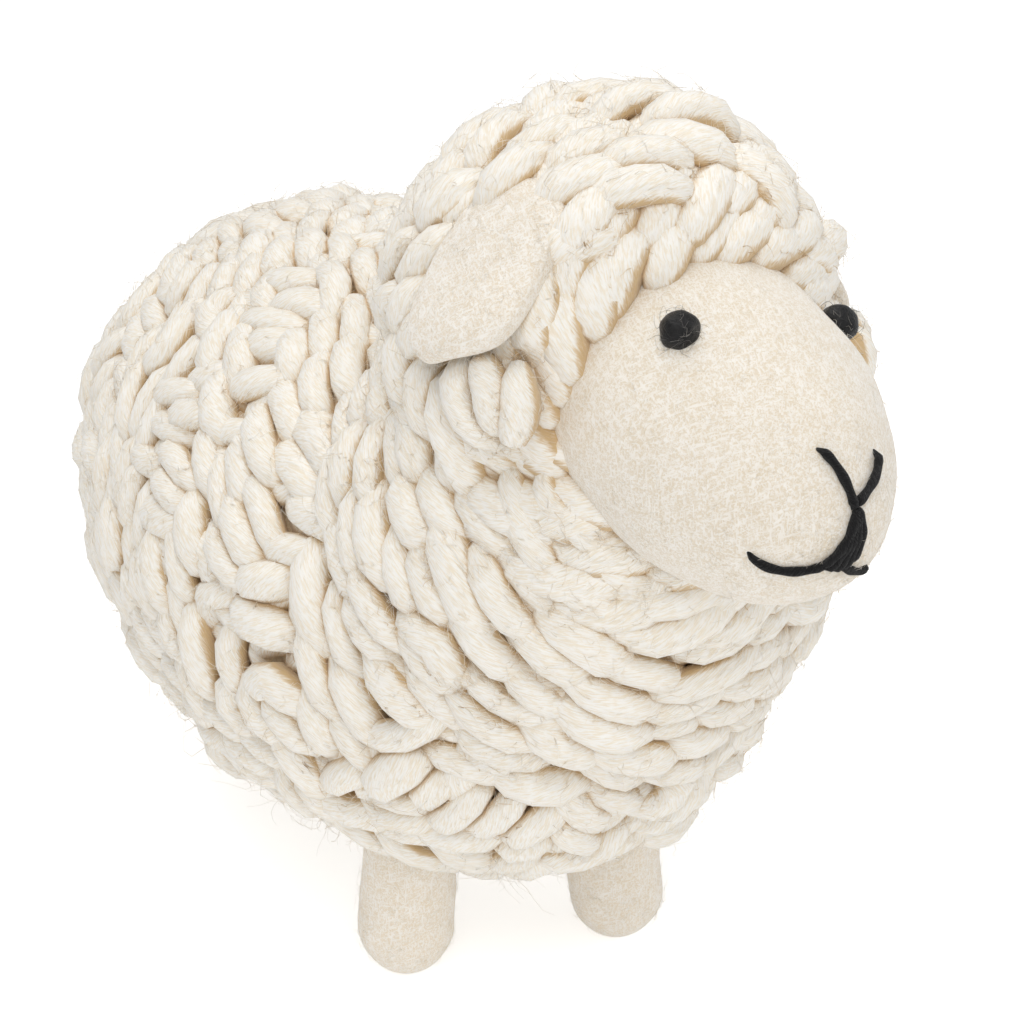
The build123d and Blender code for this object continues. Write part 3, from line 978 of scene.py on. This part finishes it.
    def strands(
        self, places: np.ndarray, sunk: np.ndarray, rng: np.random.Generator, patches: Patches
    ) -> Shape:
        """Spindle-shaped strands at places, arched so that both ends dive into the base.

        Args:
            places: Middles of the strands.
            sunk: Depth of each strand's middle under the usual one.
            rng: Source of chance.
            patches: The patches.

        Returns:
            The shape.
        """
        count = len(places)
        sizes = self.sizes(places)
        half = sizes[:, 0] / 2 * rng.uniform(*self.length_spread, count)
        radius = sizes[:, 1] * rng.uniform(*self.radius_spread, count)
        curled = rng.uniform(0, 1, count) < self.curled_share
        bent = rng.choice([-self.curled_bend, self.curled_bend], count)
        bend = np.where(curled, bent, rng.normal(0, self.stray_bend, count))
        lay = self.lay(places, WOOL.outward(places), patches)
        middle = self.rings // 2
        line = np.zeros((count, self.rings, 3))
        line[:, middle] = places
        for way in (1, -1):
            point, heading = places, lay * way
            for step, stride in enumerate(np.diff(self.stations()[middle:])):
                normal = WOOL.outward(point)
                turn = (bend * half * stride * way)[:, None]
                heading = swung(unit(tangential(heading, normal)), normal, turn)
                point = WOOL.settle(point + heading * (half * stride)[:, None], rounds=2)
                line[:, middle + way * (step + 1)] = point
        normals = WOOL.outward(line)
        level = sunk - self.rise + rng.normal(0, self.rise_spread, count).clip(-1.2, 1.0)
        level = level - self.curled_rise * curled
        level = level - self.cap_rise * self.region_weights(places)[:, 2]
        depth = (radius * 0.6 + level)[:, None] + (np.abs(self.stations()) ** 3 * self.end_dive)[None]
        middles = line - normals * depth[..., None]
        shape = tubes(middles, radius[:, None] * self.taper(), normals, self.sides, flatten=0.95)
        # painted shade from each point's height under the outer form
        self.shade(shape, WOOL.height(shape.points), rng)
        return shape

    def stations(self) -> np.ndarray:
        """Places of the rings along a strand, from -1 to 1, closer together at the ends."""
        return np.sin(np.linspace(-np.pi / 2, np.pi / 2, self.rings))

    def taper(self) -> np.ndarray:
        """Radius of a strand along its length: full for most of it, rounded at the ends."""
        return np.sqrt(1 - np.abs(self.stations()) ** 3.2) * 0.94 + 0.06

    def shade(self, shape: Shape, rise: np.ndarray, rng: np.random.Generator) -> None:
        """Sets the values sink (painted shade: 0 in a crease and on a strand's sides and underside, 1 on the
        top of a strand that lies high) and chance of strands.

        Args:
            shape: The strands.
            rise: Height of their points above the outer form.
            rng: Source of chance.
        """
        count = len(shape.points) // (self.rings * self.sides)
        crest = np.tile(np.sin(np.arange(self.sides) * (2 * np.pi / self.sides)), count * self.rings)
        # painted shade: the top of each strand stays light, its sides, underside and deep parts go dark
        shape.values["sink"] = smooth_step(0.25, 1.0, crest) * (0.45 + 0.55 * smooth_step(-3.4, -0.6, rise))
        shape.values["chance"] = np.repeat(rng.uniform(0, 1, count), self.rings * self.sides)

    def base(self) -> Shape:
        """Felted base under the strands: the three forms, a little smaller, each closed."""
        depth = self.base_depth
        turn = np.linspace(0, np.pi, 33)
        power = np.where(turn < np.pi / 2, 2 / BODY.chest_fullness, 2 / BODY.rump_fullness)
        along = -np.sign(np.cos(turn)) * np.abs(np.cos(turn)) ** power * (BODY.half_length - depth)
        out = np.clip(np.sin(turn), 0, 1) ** power * (BODY.radius - depth)
        out[[0, -1]] = 0
        body = turned(along, out, lambda p: p + np.array([0, BODY.middle_y, BODY.middle_z]), 64)
        share = np.linspace(0, 1, 13)
        along = NECK.start + depth + (NECK.length - NECK.start - 2 * depth) * share
        out = np.concatenate([[0], NECK.radius_at(share) - depth, [0]])
        neck = turned(np.concatenate([along[:1], along, along[-1:]]), out, NECK.out_of, 48)
        turn = np.linspace(np.pi * 0.57, 0, 20)
        along = CAP.behind + (CAP.half_length - self.cap_depth) * np.cos(turn)
        out = np.concatenate([[0], (CAP.radius - self.cap_depth) * np.sin(turn)])
        out[-1] = 0
        cap = turned(np.concatenate([along[:1], along]), out, HEAD_FRAME.out_of, 56)
        shape = body.join(neck).join(cap)
        shape.push(WOOL.outward(shape.points), self.relief.at(shape.points))
        return shape

    def fringe(self, rng: np.random.Generator) -> Shape:
        """Rows of strands rolled round the face: two at the hairline and three round the neck's top."""
        rows = []
        share = self.stations()
        slant = np.sin(share * 1.5)
        for count, back, ring_radius, stretch, form, place in (
            (24, 7.8, 21.3, 1.0, HEAD, HEAD_FRAME.out_of),
            (26, 10.8, 24.4, 1.0, HEAD, HEAD_FRAME.out_of),
            (13, 8.0, 17.8, 1.5, NECK, NECK.out_of),
            (14, 11.4, 20.8, 1.4, NECK, NECK.out_of),
            (15, 15.2, 23.6, 1.3, NECK, NECK.out_of),
        ):
            turn = np.linspace(0, 2 * np.pi, count, endpoint=False) + rng.normal(0, 0.05, count)
            radius = rng.uniform(3.0, 3.5, count)
            angle = turn[:, None] + stretch * rng.uniform(0.24, 0.32, count)[:, None] * share
            behind = back + rng.normal(0, 0.5, count)[:, None] + rng.uniform(2.0, 3.6, count)[:, None] * slant
            away = ring_radius + rng.uniform(-0.5, 0.5, count)[:, None] + 1.6 * slant - 2.2 * share**2
            middles = place(np.stack([np.sin(angle) * away, behind, np.cos(angle) * away], axis=-1))
            row = tubes(middles, radius[:, None] * self.taper(), form.outward(middles), self.sides)
            # painted shade from each point's height against the row's mean, shifted 1 mm deeper
            self.shade(row, form.height(row.points) - form.height(middles).mean() - 1.0, rng)
            rows.append(row)
        return reduce(Shape.join, rows)

    def curls(self, rng: np.random.Generator) -> Shape:
        """Small bun of yarn under each ear: bent strands side by side, each through three places."""
        lobes = (
            ((2.4, -5.0), (4.6, 0.2), (2.0, 5.4), 2.6, 0.4),
            ((-2.6, -4.6), (0.4, -1.4), (0.0, 4.8), 2.6, 0.9),
            ((-4.2, -4.6), (-5.2, 1.6), (0.6, 6.8), 2.6, 0.0),
            ((0.0, -5.0), (0.0, 0.0), (0.0, 5.0), 3.4, -2.4),
        )
        middles, upward, radii = [], [], []
        share = self.stations()[:, None]
        across, ahead, _ = self.bun_place
        for side in Side:
            height = self.bun_height - self.bun_tilt * side.value
            place = WOOL.settle(np.array([[side.value * across, -ahead, height]]))[0]
            outward = WOOL.outward(place[None])[0]
            down = unit(tangential(np.array([0, 0, -1.0]), outward))
            axes = np.stack([np.cross(outward, down) * -side.value, down])
            for *knots, radius, rise in lobes:
                start, waist, end = np.array(knots)
                bent = waist + (end - start) / 2 * share + ((start + end) / 2 - waist) * share**2
                middles.append(place + bent @ axes + outward * (rise - 2.4 * share**4))
                upward.append(np.broadcast_to(outward, (self.rings, 3)))
                radii.append(radius * self.taper())
        shape = tubes(np.array(middles), np.array(radii), np.array(upward), self.sides)
        # painted shade from each point's height under the outer form, shifted 1.5 mm deeper
        self.shade(shape, WOOL.height(shape.points) - 1.5, rng)
        return shape

    def build(self, finishes: Finishes) -> None:
        """Makes the base, the strands and the fringe, in place of the courses of the frame."""
        rng = np.random.default_rng(self.seed)
        middles = WOOL.scatter(self.patch_count, rng)
        turns = np.radians(rng.uniform(-self.patch_turn, self.patch_turn, len(middles)))
        base = self.base().make("fleece_base", finishes.yarn_base, Rig.SHEEP, Slot.YARN)
        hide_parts(*[f"fleece_course_{course:02d}" for course in range(1, 13)])
        shapes = [[], [], []]
        upper = self.upper_count, 0.0, 0.0
        lower = self.lower_count, self.lower_sink, self.lower_turn
        for count, sink, turn in (upper, lower):
            patches = Patches(middles, turns + turn)
            places = self.spread(count, rng, patches)
            covered = EARS[0].covers(places) | EARS[1].covers(places)
            if not sink:
                places, covered = places[~covered], covered[~covered]
            region = self.region_weights(places).argmax(axis=1)
            for number, layers in enumerate(shapes):
                chosen = region == number
                depths = sink + self.ear_sink * covered[chosen]
                layers.append(self.strands(places[chosen], depths, rng, patches))
        body, neck, cap = [reduce(Shape.join, layers) for layers in shapes]
        fringe = self.fringe(rng).join(self.curls(rng))
        for name, shape, nodes in (
            ("fleece_strands", body, ()),
            ("neck_strands", neck, ("neck_fleece",)),
            ("cap_strands", cap, ("cap_crown", "cap_nape")),
            ("fringe_strands", fringe, ("cap_fringe",)),
        ):
            piece = shape.make(name, finishes.yarn, Rig.SHEEP, Slot.YARN)
            if nodes:
                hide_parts(*nodes)


@dataclass
class Head:
    """Felted head with ball eyes."""

    eye_radius: float = 2.5
    eye_right: float = -10.9
    eye_left: float = 13.2
    eye_back: float = -4.9
    eye_lift: float = 0.25
    relief: Ripple = Ripple(9.0, 0.22, 5)
    eye_relief: Ripple = Ripple(1.3, 0.1, 7)

    def build(self, finishes: Finishes) -> None:
        """Makes the egg of the head and the two eyes."""
        felt = egg(HEAD.half_length, HEAD.radius, 66, HEAD_FRAME.out_of, 96)
        felt.push(HEAD.outward(felt.points), self.relief.at(felt.points))
        head = felt.make("head_felt", finishes.face, Rig.SHEEP, Slot.FACE_FELT)
        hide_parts("head_core")
        for side, across in ((Side.RIGHT, self.eye_right), (Side.LEFT, self.eye_left)):
            place = HEAD.on_top(across, self.eye_back, self.eye_lift)
            ball = egg(self.eye_radius, self.eye_radius, 26, lambda p: p + place, 36)
            ball.push(unit(ball.points - place), self.eye_relief.at(ball.points))
            eye = ball.make(f"eye_{side.label()}_felt", finishes.black, Rig.SHEEP, Slot.BLACK_WOOL)
            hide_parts(f"eye_{side.label()}")


@dataclass
class Stitching:
    """Nose and mouth stitched in black yarn on the muzzle."""

    thread: float = 0.58
    rings: int = 22
    sides: int = 12

    def stroke(self, points: list[tuple[float, float]], radius: float, lift: float, seed: int) -> Shape:
        """One strand of black yarn over the muzzle, through places given across and up the head.

        Args:
            points: Places (to the left, up) in the head's frame, at least three.
            radius: Radius of the yarn.
            lift: Height of the yarn's middle above the felt.
            seed: Seed of its chance value.

        Returns:
            The shape.
        """
        knots = np.asarray(points, float)
        steps = walked(knots)
        share = np.linspace(0, steps[-1], self.rings)
        fit = np.polyfit(steps, knots, min(len(knots) - 1, 3))
        place = np.stack([np.polyval(fit[:, column], share) for column in (0, 1)], axis=-1)
        back = -HEAD.half_length * np.sqrt(np.maximum(1 - (place**2).sum(-1) / HEAD.radius**2, 0))
        surface = HEAD.settle(HEAD_FRAME.out_of(np.stack([place[:, 0], back, place[:, 1]], axis=-1)))
        normals = HEAD.outward(surface)
        ends = np.abs(np.linspace(-1, 1, self.rings))
        middles = surface + normals * (lift - radius * 1.4 * smooth_step(0.82, 1.0, ends))[:, None]
        fat = radius * (1 - 0.6 * smooth_step(0.7, 1.0, ends)) * (1 + 0.1 * np.sin(share * 2.3 + seed))
        shape = tubes(middles[None], fat[None], normals[None], self.sides)
        # sink of 1 everywhere: no painted shade from a stitch's sides or depth; the occlusion shade of the
        # yarn finish still applies
        shape.values["sink"] = np.ones(len(shape.points))
        shape.values["chance"] = np.full(len(shape.points), (seed * 0.371) % 1)
        return shape

    def build(self, finishes: Finishes) -> None:
        """Makes the wrapped nose, its two arms and the two strokes of the mouth."""
        strokes = {
            "nose_arm_right": [(-3.3, 11.4), (-2.0, 10.3), (-1.0, 8.6), (-0.3, 6.9), (0.0, 5.6)],
            "nose_arm_left": [(5.3, 10.2), (4.5, 9.0), (2.7, 7.7), (1.2, 6.9), (0.0, 6.0)],
            "mouth_right": [(-10.8, -0.9), (-8.6, -2.2), (-6.6, -2.3), (-4.4, -1.4), (-2.6, -0.6)],
            "mouth_left": [(-1.2, -0.8), (0.4, -1.7), (1.8, -2.4), (3.0, -2.7), (4.2, -2.5)],
        }
        black = finishes.black_yarn, Rig.SHEEP, Slot.BLACK_WOOL
        for number, (name, points) in enumerate(strokes.items()):
            piece = self.stroke(points, self.thread, 0.45, number).make(f"{name}_yarn", *black)
            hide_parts(name)
        waists = ((-1.5, 1.6), (-0.9, 2.0), (-0.3, 2.4), (0.3, 2.8), (0.9, 3.1))
        feet = ((-3.6, -1.0), (-2.8, -1.7), (-1.8, -1.9), (-0.9, -1.6), (-0.1, -0.6))
        wraps = [
            self.stroke([(0.0, 6.3), waist, foot], self.thread * 1.05, 0.6, number + 9)
            for number, (waist, foot) in enumerate(zip(waists, feet))
        ]
        piece = reduce(Shape.join, wraps).make("nose_yarn", *black)
        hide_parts("nose_stitch")


@dataclass
class Ear:
    """Thick felt leaf with a rounded rim, bent over the cap and free below its root."""

    place: EarPlace
    bend_radius: float = 45.0
    stand_off: float = 3.2
    rim_points: int = 72
    rings: int = 32
    relief: Ripple = Ripple(5.0, 0.18, 21)

    def outline(self) -> np.ndarray:
        """Places of the rim (along the root, down the leaf): lines between corners, then rounded."""
        knots = np.array(
            [
                (7.6, -4.6), (3.4, -6.4), (-1.8, -5.8), (-5.2, -2.6),
                (-6.0, 2.4), (-5.8, 7.0), (-5.8, 12.0), (-5.2, 15.8),
                (-1.2, 18.0), (3.4, 19.8), (7.6, 20.6), (10.8, 17.2),
                (12.4, 12.6), (12.8, 7.6), (12.2, 2.0), (10.6, -2.2),
            ]
        )
        closed = np.concatenate([knots, knots[:1]])
        steps = walked(closed)
        share = np.linspace(0, steps[-1], self.rim_points, endpoint=False)
        rim = np.stack([np.interp(share, steps, closed[:, column]) for column in (0, 1)], axis=-1)
        for _ in range(6):
            rim = rim * 0.5 + (np.roll(rim, 1, axis=0) + np.roll(rim, -1, axis=0)) * 0.25
        return rim

    def build(self, finishes: Finishes) -> None:
        """Makes the leaf: rings that shrink from the rim to the middle, on both faces."""
        rim = self.outline()
        middle = rim.mean(axis=0)
        arc = np.linspace(0, np.pi, self.rings + 2)[1:-1]
        flat = middle + (rim - middle) * (np.sin(arc) ** 0.55)[:, None, None]
        across, fall = np.concatenate([flat.reshape(-1, 2), middle[None], middle[None]]).T
        face = np.concatenate([np.repeat(-np.cos(arc), self.rim_points), [-1, 1]])
        half = self.place.thickness / 2
        sag = self.bend_radius - np.sqrt(self.bend_radius**2 - across**2 - fall**2)
        sag = sag - self.stand_off * smooth_step(6, 20, fall)
        thick = np.sign(face) * np.abs(face) ** 0.5 * half * (1 - 0.12 * smooth_step(8, 0, fall))
        root, down, out = self.place.axes()
        points = self.place.top() + across[:, None] * root + fall[:, None] * down
        points = points + (thick - half - sag)[:, None] * out
        faces = ring_faces(self.rings, self.rim_points)
        side = self.place.side
        if side is Side.LEFT:
            faces = [face_set[:, ::-1] for face_set in faces]
        leaf = Shape(points, faces)
        leaf.push(out, self.relief.at(points))
        name = f"ear_{side.label()}"
        piece = leaf.make(f"{name}_leaf", finishes.ear, Rig(name), Slot.EAR_FELT)
        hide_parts(name)


@dataclass
class Leg:
    """Felted peg with a rounded foot that is flat where it stands."""

    place: LegPlace
    radius: float = 7.6
    top_radius: float = 6.6
    swell: float = 8.6
    relief: Ripple = Ripple(5.0, 0.22, 31)

    def build(self, finishes: Finishes) -> None:
        """Makes the peg, turned about its leaning axis and pressed flat at the floor."""
        reach = self.place.reach
        low = np.linspace(0, np.pi / 2, 14)
        up = np.linspace(self.swell, reach, 22)[1:]
        along = np.concatenate([self.swell * (1 - np.cos(low)), up, [reach]])
        fade = np.cos((up - self.swell) / (reach - self.swell) * np.pi / 2)
        taper = self.top_radius + (self.radius - self.top_radius) * fade
        out = np.concatenate([self.radius * np.sin(low), taper, [0]])
        axis, ahead = self.place.axis(), np.array([0.0, -1.0, 0.0])
        axes = np.array([np.cross(axis, ahead), axis, ahead])
        peg = turned(along, out, lambda p: self.place.foot() + p @ axes, 48)
        firm = smooth_step(1, 5, peg.points[:, 2])
        peg.push(unit(self.place.aside(peg.points)), self.relief.at(peg.points) * firm)
        peg.points[:, 2] = np.maximum(peg.points[:, 2], 0)
        piece = peg.make(f"leg_{self.place.name}_felt", finishes.leg, Rig.SHEEP, Slot.LEG_FELT)
        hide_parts(f"leg_{self.place.name}")


@dataclass(frozen=True)
class FibreSize:
    """Usual length, height and sideways swing of fibres, their radius, and if they grow low in creases."""

    length: float
    lift: float
    curl: float
    radius: float
    low: bool = False


@dataclass
class Fluff:
    """Loose fibres that stand off the yarn and the felt."""

    rings: int = 5
    sides: int = 3
    seed: int = 41

    def fibres(self, roots: np.ndarray, outward: np.ndarray, size: FibreSize, seed: int) -> Shape:
        """Thin bent fibres that start and end near a surface.

        A fibre runs along a seeded direction, rises by about half a sine and curls to the side.

        Args:
            roots: Places where the fibres start.
            outward: Outward directions there.
            size: Their size.
            seed: Seed of their chances.

        Returns:
            The shape.
        """
        rng = np.random.default_rng(seed)
        count = len(roots)
        heading = unit(np.cross(outward, rng.normal(size=(count, 3))))
        side = np.cross(outward, heading)
        share = np.linspace(0, 1, self.rings)
        run = size.length * rng.uniform(0.5, 1.4, count)[:, None] * share
        rise = size.lift * rng.uniform(0.1, 1.6, count)[:, None]
        rise = rise * np.sin(np.pi * share * rng.uniform(0.55, 1.1, count)[:, None])
        swing = size.curl * rng.normal(0, 1, count)[:, None]
        swing = swing * np.sin(np.pi * share * rng.uniform(0.8, 2.2, count)[:, None])
        middles = roots[:, None] + heading[:, None] * run[..., None]
        middles = middles + outward[:, None] * (rise - 0.1)[..., None] + side[:, None] * swing[..., None]
        thin = np.broadcast_to(size.radius * (1 - 0.6 * share), (count, self.rings))
        shape = tubes(middles, thin, np.broadcast_to(outward[:, None], middles.shape), self.sides)
        shape.values["chance"] = np.repeat(rng.uniform(0, 1, count), self.rings * self.sides)
        return shape

    def roots(self, source: str, crease: bool, rng: np.random.Generator) -> tuple[np.ndarray, ...]:
        """Points of a piece that can carry fibres.

        Args:
            source: Name of the piece.
            crease: True for the flanks of strands, low in the creases, in place of their crests.
            rng: Source of chance.

        Returns:
            Points, their outward directions and the numbers of those that can be used.
        """
        mesh = bpy.data.objects[source].data
        points, normals = np.zeros((2, len(mesh.vertices) * 3), np.float32)
        mesh.vertices.foreach_get("co", points)
        mesh.vertex_normals.foreach_get("vector", normals)
        points, normals = points.reshape(-1, 3) / MM, normals.reshape(-1, 3)
        if crease:
            deep = WOOL.height(points)
            side = np.arange(len(points)) % Fleece.sides
            usable = np.isin(side, (0, Fleece.sides // 2)) & (deep > -4.4) & (deep < -0.8)
            share = rng.uniform(0.2, 0.8, (len(points), 1))
            above = np.where(side[:, None] == 0, np.roll(points, -1, axis=0), np.roll(points, 1, axis=0))
            points = points * (1 - share) + above * share
            normals = WOOL.outward(points)
        elif source.endswith("strands"):
            usable = WOOL.height(points) > -1.6
        elif source == "head_felt":
            usable = HEAD_FRAME.into(points)[:, 1] < 6
        else:
            usable = points[:, 2] > 3
        return points, normals, np.flatnonzero(usable)

    def build(self, finishes: Finishes) -> None:
        """Makes the fibres of the fleece, the face, the ears, the legs and the eyes."""
        rng = np.random.default_rng(self.seed)
        short, middling = FibreSize(3.4, 0.6, 0.8, 0.04), FibreSize(3.6, 0.7, 0.9, 0.04)
        long, crease = FibreSize(6.0, 1.2, 1.4, 0.04), FibreSize(1.9, 0.3, 0.6, 0.045, low=True)
        felt, wool = FibreSize(2.2, 0.4, 0.6, 0.025), FibreSize(1.8, 0.5, 0.7, 0.03)
        yarn = Rig.SHEEP, Slot.YARN
        legs = [f"leg_{leg.name}" for leg in LEGS]
        eyes = [f"eye_{side.label()}" for side in Side]
        groups = {
            finishes.fluff: [
                ("fleece", "fleece_strands", 7000, short, *yarn),
                ("fleece_long", "fleece_strands", 1500, long, *yarn),
                ("neck", "neck_strands", 2400, middling, *yarn),
                ("cap", "cap_strands", 2400, middling, *yarn),
                ("fringe", "fringe_strands", 900, short, *yarn),
            ],
            # the darker tone of the crease fibres is painted shade
            finishes.crease_fluff: [
                ("fleece_crease", "fleece_strands", 7400, crease, *yarn),
                ("neck_crease", "neck_strands", 2200, crease, *yarn),
                ("cap_crease", "cap_strands", 2200, crease, *yarn),
                ("fringe_crease", "fringe_strands", 500, crease, *yarn),
            ],
            finishes.felt_fluff: [
                ("face", "head_felt", 900, felt, Rig.SHEEP, Slot.FACE_FELT),
                ("ear_right", "ear_right_leaf", 420, felt, Rig.EAR_RIGHT, Slot.EAR_FELT),
                ("ear_left", "ear_left_leaf", 420, felt, Rig.EAR_LEFT, Slot.EAR_FELT),
                *[(leg, f"{leg}_felt", 400, felt, Rig.SHEEP, Slot.LEG_FELT) for leg in legs],
            ],
            finishes.grey_fluff: [
                (eye, f"{eye}_felt", 60, wool, Rig.SHEEP, Slot.BLACK_WOOL) for eye in eyes
            ],
        }
        for finish, pieces in groups.items():
            for name, source, count, size, rig, slot in pieces:
                points, normals, usable = self.roots(source, size.low, rng)
                pick = rng.choice(usable, count)
                drift = np.cross(normals[pick], rng.normal(0, 0.5, (count, 3)))
                shape = self.fibres(points[pick] + drift, normals[pick], size, int(rng.integers(1 << 30)))
                shape.points[:, 2] = np.maximum(shape.points[:, 2], 0.1)
                shape.make(f"{name}_fluff", finish, rig, slot)


@dataclass
class Inside:
    """Pieces of the frame that stay as they are, inside the sheep."""

    def build(self, finishes: Finishes) -> None:
        """Gives the core, the dowels and the ear stitches their materials."""
        kept = {"body_core": finishes.core, "dowel": finishes.wood, "ear_stitch": finishes.thread}
        for name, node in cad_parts.items():
            for part, finish in kept.items():
                if part in name:
                    node.data.materials.clear()
                    node.data.materials.append(finish)
                    LOG.info("%s: kept from the frame", name)


@dataclass
class Studio:
    """White floor and backdrop, soft lamps and the photograph's camera."""

    eye: tuple[float, float, float] = (-167.43, -315.26, 246.9)
    aim: tuple[float, float, float] = (13.65, 11.43, 63.76)
    lens: float = 91.406
    sensor: float = 36.0
    floor_half: float = 6.0
    world_strength: float = 0.4

    def put(self, name: str, data: bpy.types.ID, place: tuple) -> bpy.types.Object:
        """Lamp or camera at a place, pointed at the sheep."""
        thing = bpy.data.objects.new(name, data)
        thing.location = Vector(place) * MM
        thing.rotation_euler = (Vector(self.aim) - Vector(place)).to_track_quat("-Z", "Y").to_euler()
        bpy.context.scene.collection.objects.link(thing)
        return thing

    def lamp(self, name: str, place: tuple, size: float, power: float, tint: Tone) -> None:
        """Soft square lamp.

        Args:
            name: Name of the lamp.
            place: Place of the lamp.
            size: Side of the square.
            power: Power, in watts.
            tint: Colour of its light.
        """
        data = bpy.data.lights.new(name, "AREA")
        data.size = size * MM
        data.energy = power
        data.color = tint.linear()[:3]
        self.put(name, data, place)

    def floor(self) -> None:
        """Large white floor."""
        mesh = bpy.data.meshes.new("floor")
        half = self.floor_half
        square = [(-half, -half, 0), (half, -half, 0), (half, half, 0), (-half, half, 0)]
        mesh.from_pydata(square, [], [(0, 1, 2, 3)])
        mesh.materials.append(FloorFinish().make())
        floor = bpy.data.objects.new("floor", mesh)
        bpy.context.scene.collection.objects.link(floor)

    def world(self) -> None:
        """Even light all round, seen as white."""
        world = bpy.data.worlds.new("studio")
        world.use_nodes = True
        nodes = Nodes(world.node_tree)
        seen = nodes.add("ShaderNodeLightPath").outputs["Is Camera Ray"]
        strength = nodes.add("ShaderNodeMix", {0: seen, 2: self.world_strength, 3: 1.0}).outputs[0]
        light = nodes.add("ShaderNodeBackground", {"Color": (1, 1, 1, 1), "Strength": strength})
        nodes.add("ShaderNodeOutputWorld", {"Surface": light.outputs[0]})
        bpy.context.scene.world = world

    def build(self) -> None:
        """Makes the floor, the light and the camera."""
        self.floor()
        self.world()
        white, warm = Tone(255, 253, 250), Tone(255, 250, 243)
        self.lamp("key", (-260, -420, 620), 420, 1.75, white)
        self.lamp("fill", (520, -300, 300), 420, 0.55, white)
        self.lamp("front", (-200, -560, 90), 420, 0.28, warm)
        self.lamp("top", (-40, 160, 720), 520, 1.88, white)
        data = bpy.data.cameras.new("camera")
        data.lens = self.lens
        data.sensor_width = self.sensor
        data.clip_start = 0.01
        bpy.context.scene.camera = self.put("camera", data, self.eye)
        bpy.context.scene.view_settings.view_transform = "Standard"


def main() -> None:
    """Builds every piece, then the studio; each new mesh notes its number of points and faces."""
    logging.basicConfig(level=logging.INFO, format="%(name)s %(message)s")
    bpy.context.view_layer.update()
    finishes = Finishes()
    Fleece().build(finishes)
    Head().build(finishes)
    Stitching().build(finishes)
    for ear in EARS:
        Ear(ear).build(finishes)
    for leg in LEGS:
        Leg(leg).build(finishes)
    Fluff().build(finishes)
    Inside().build(finishes)
    Studio().build()


if __name__ == "__main__":
    main()
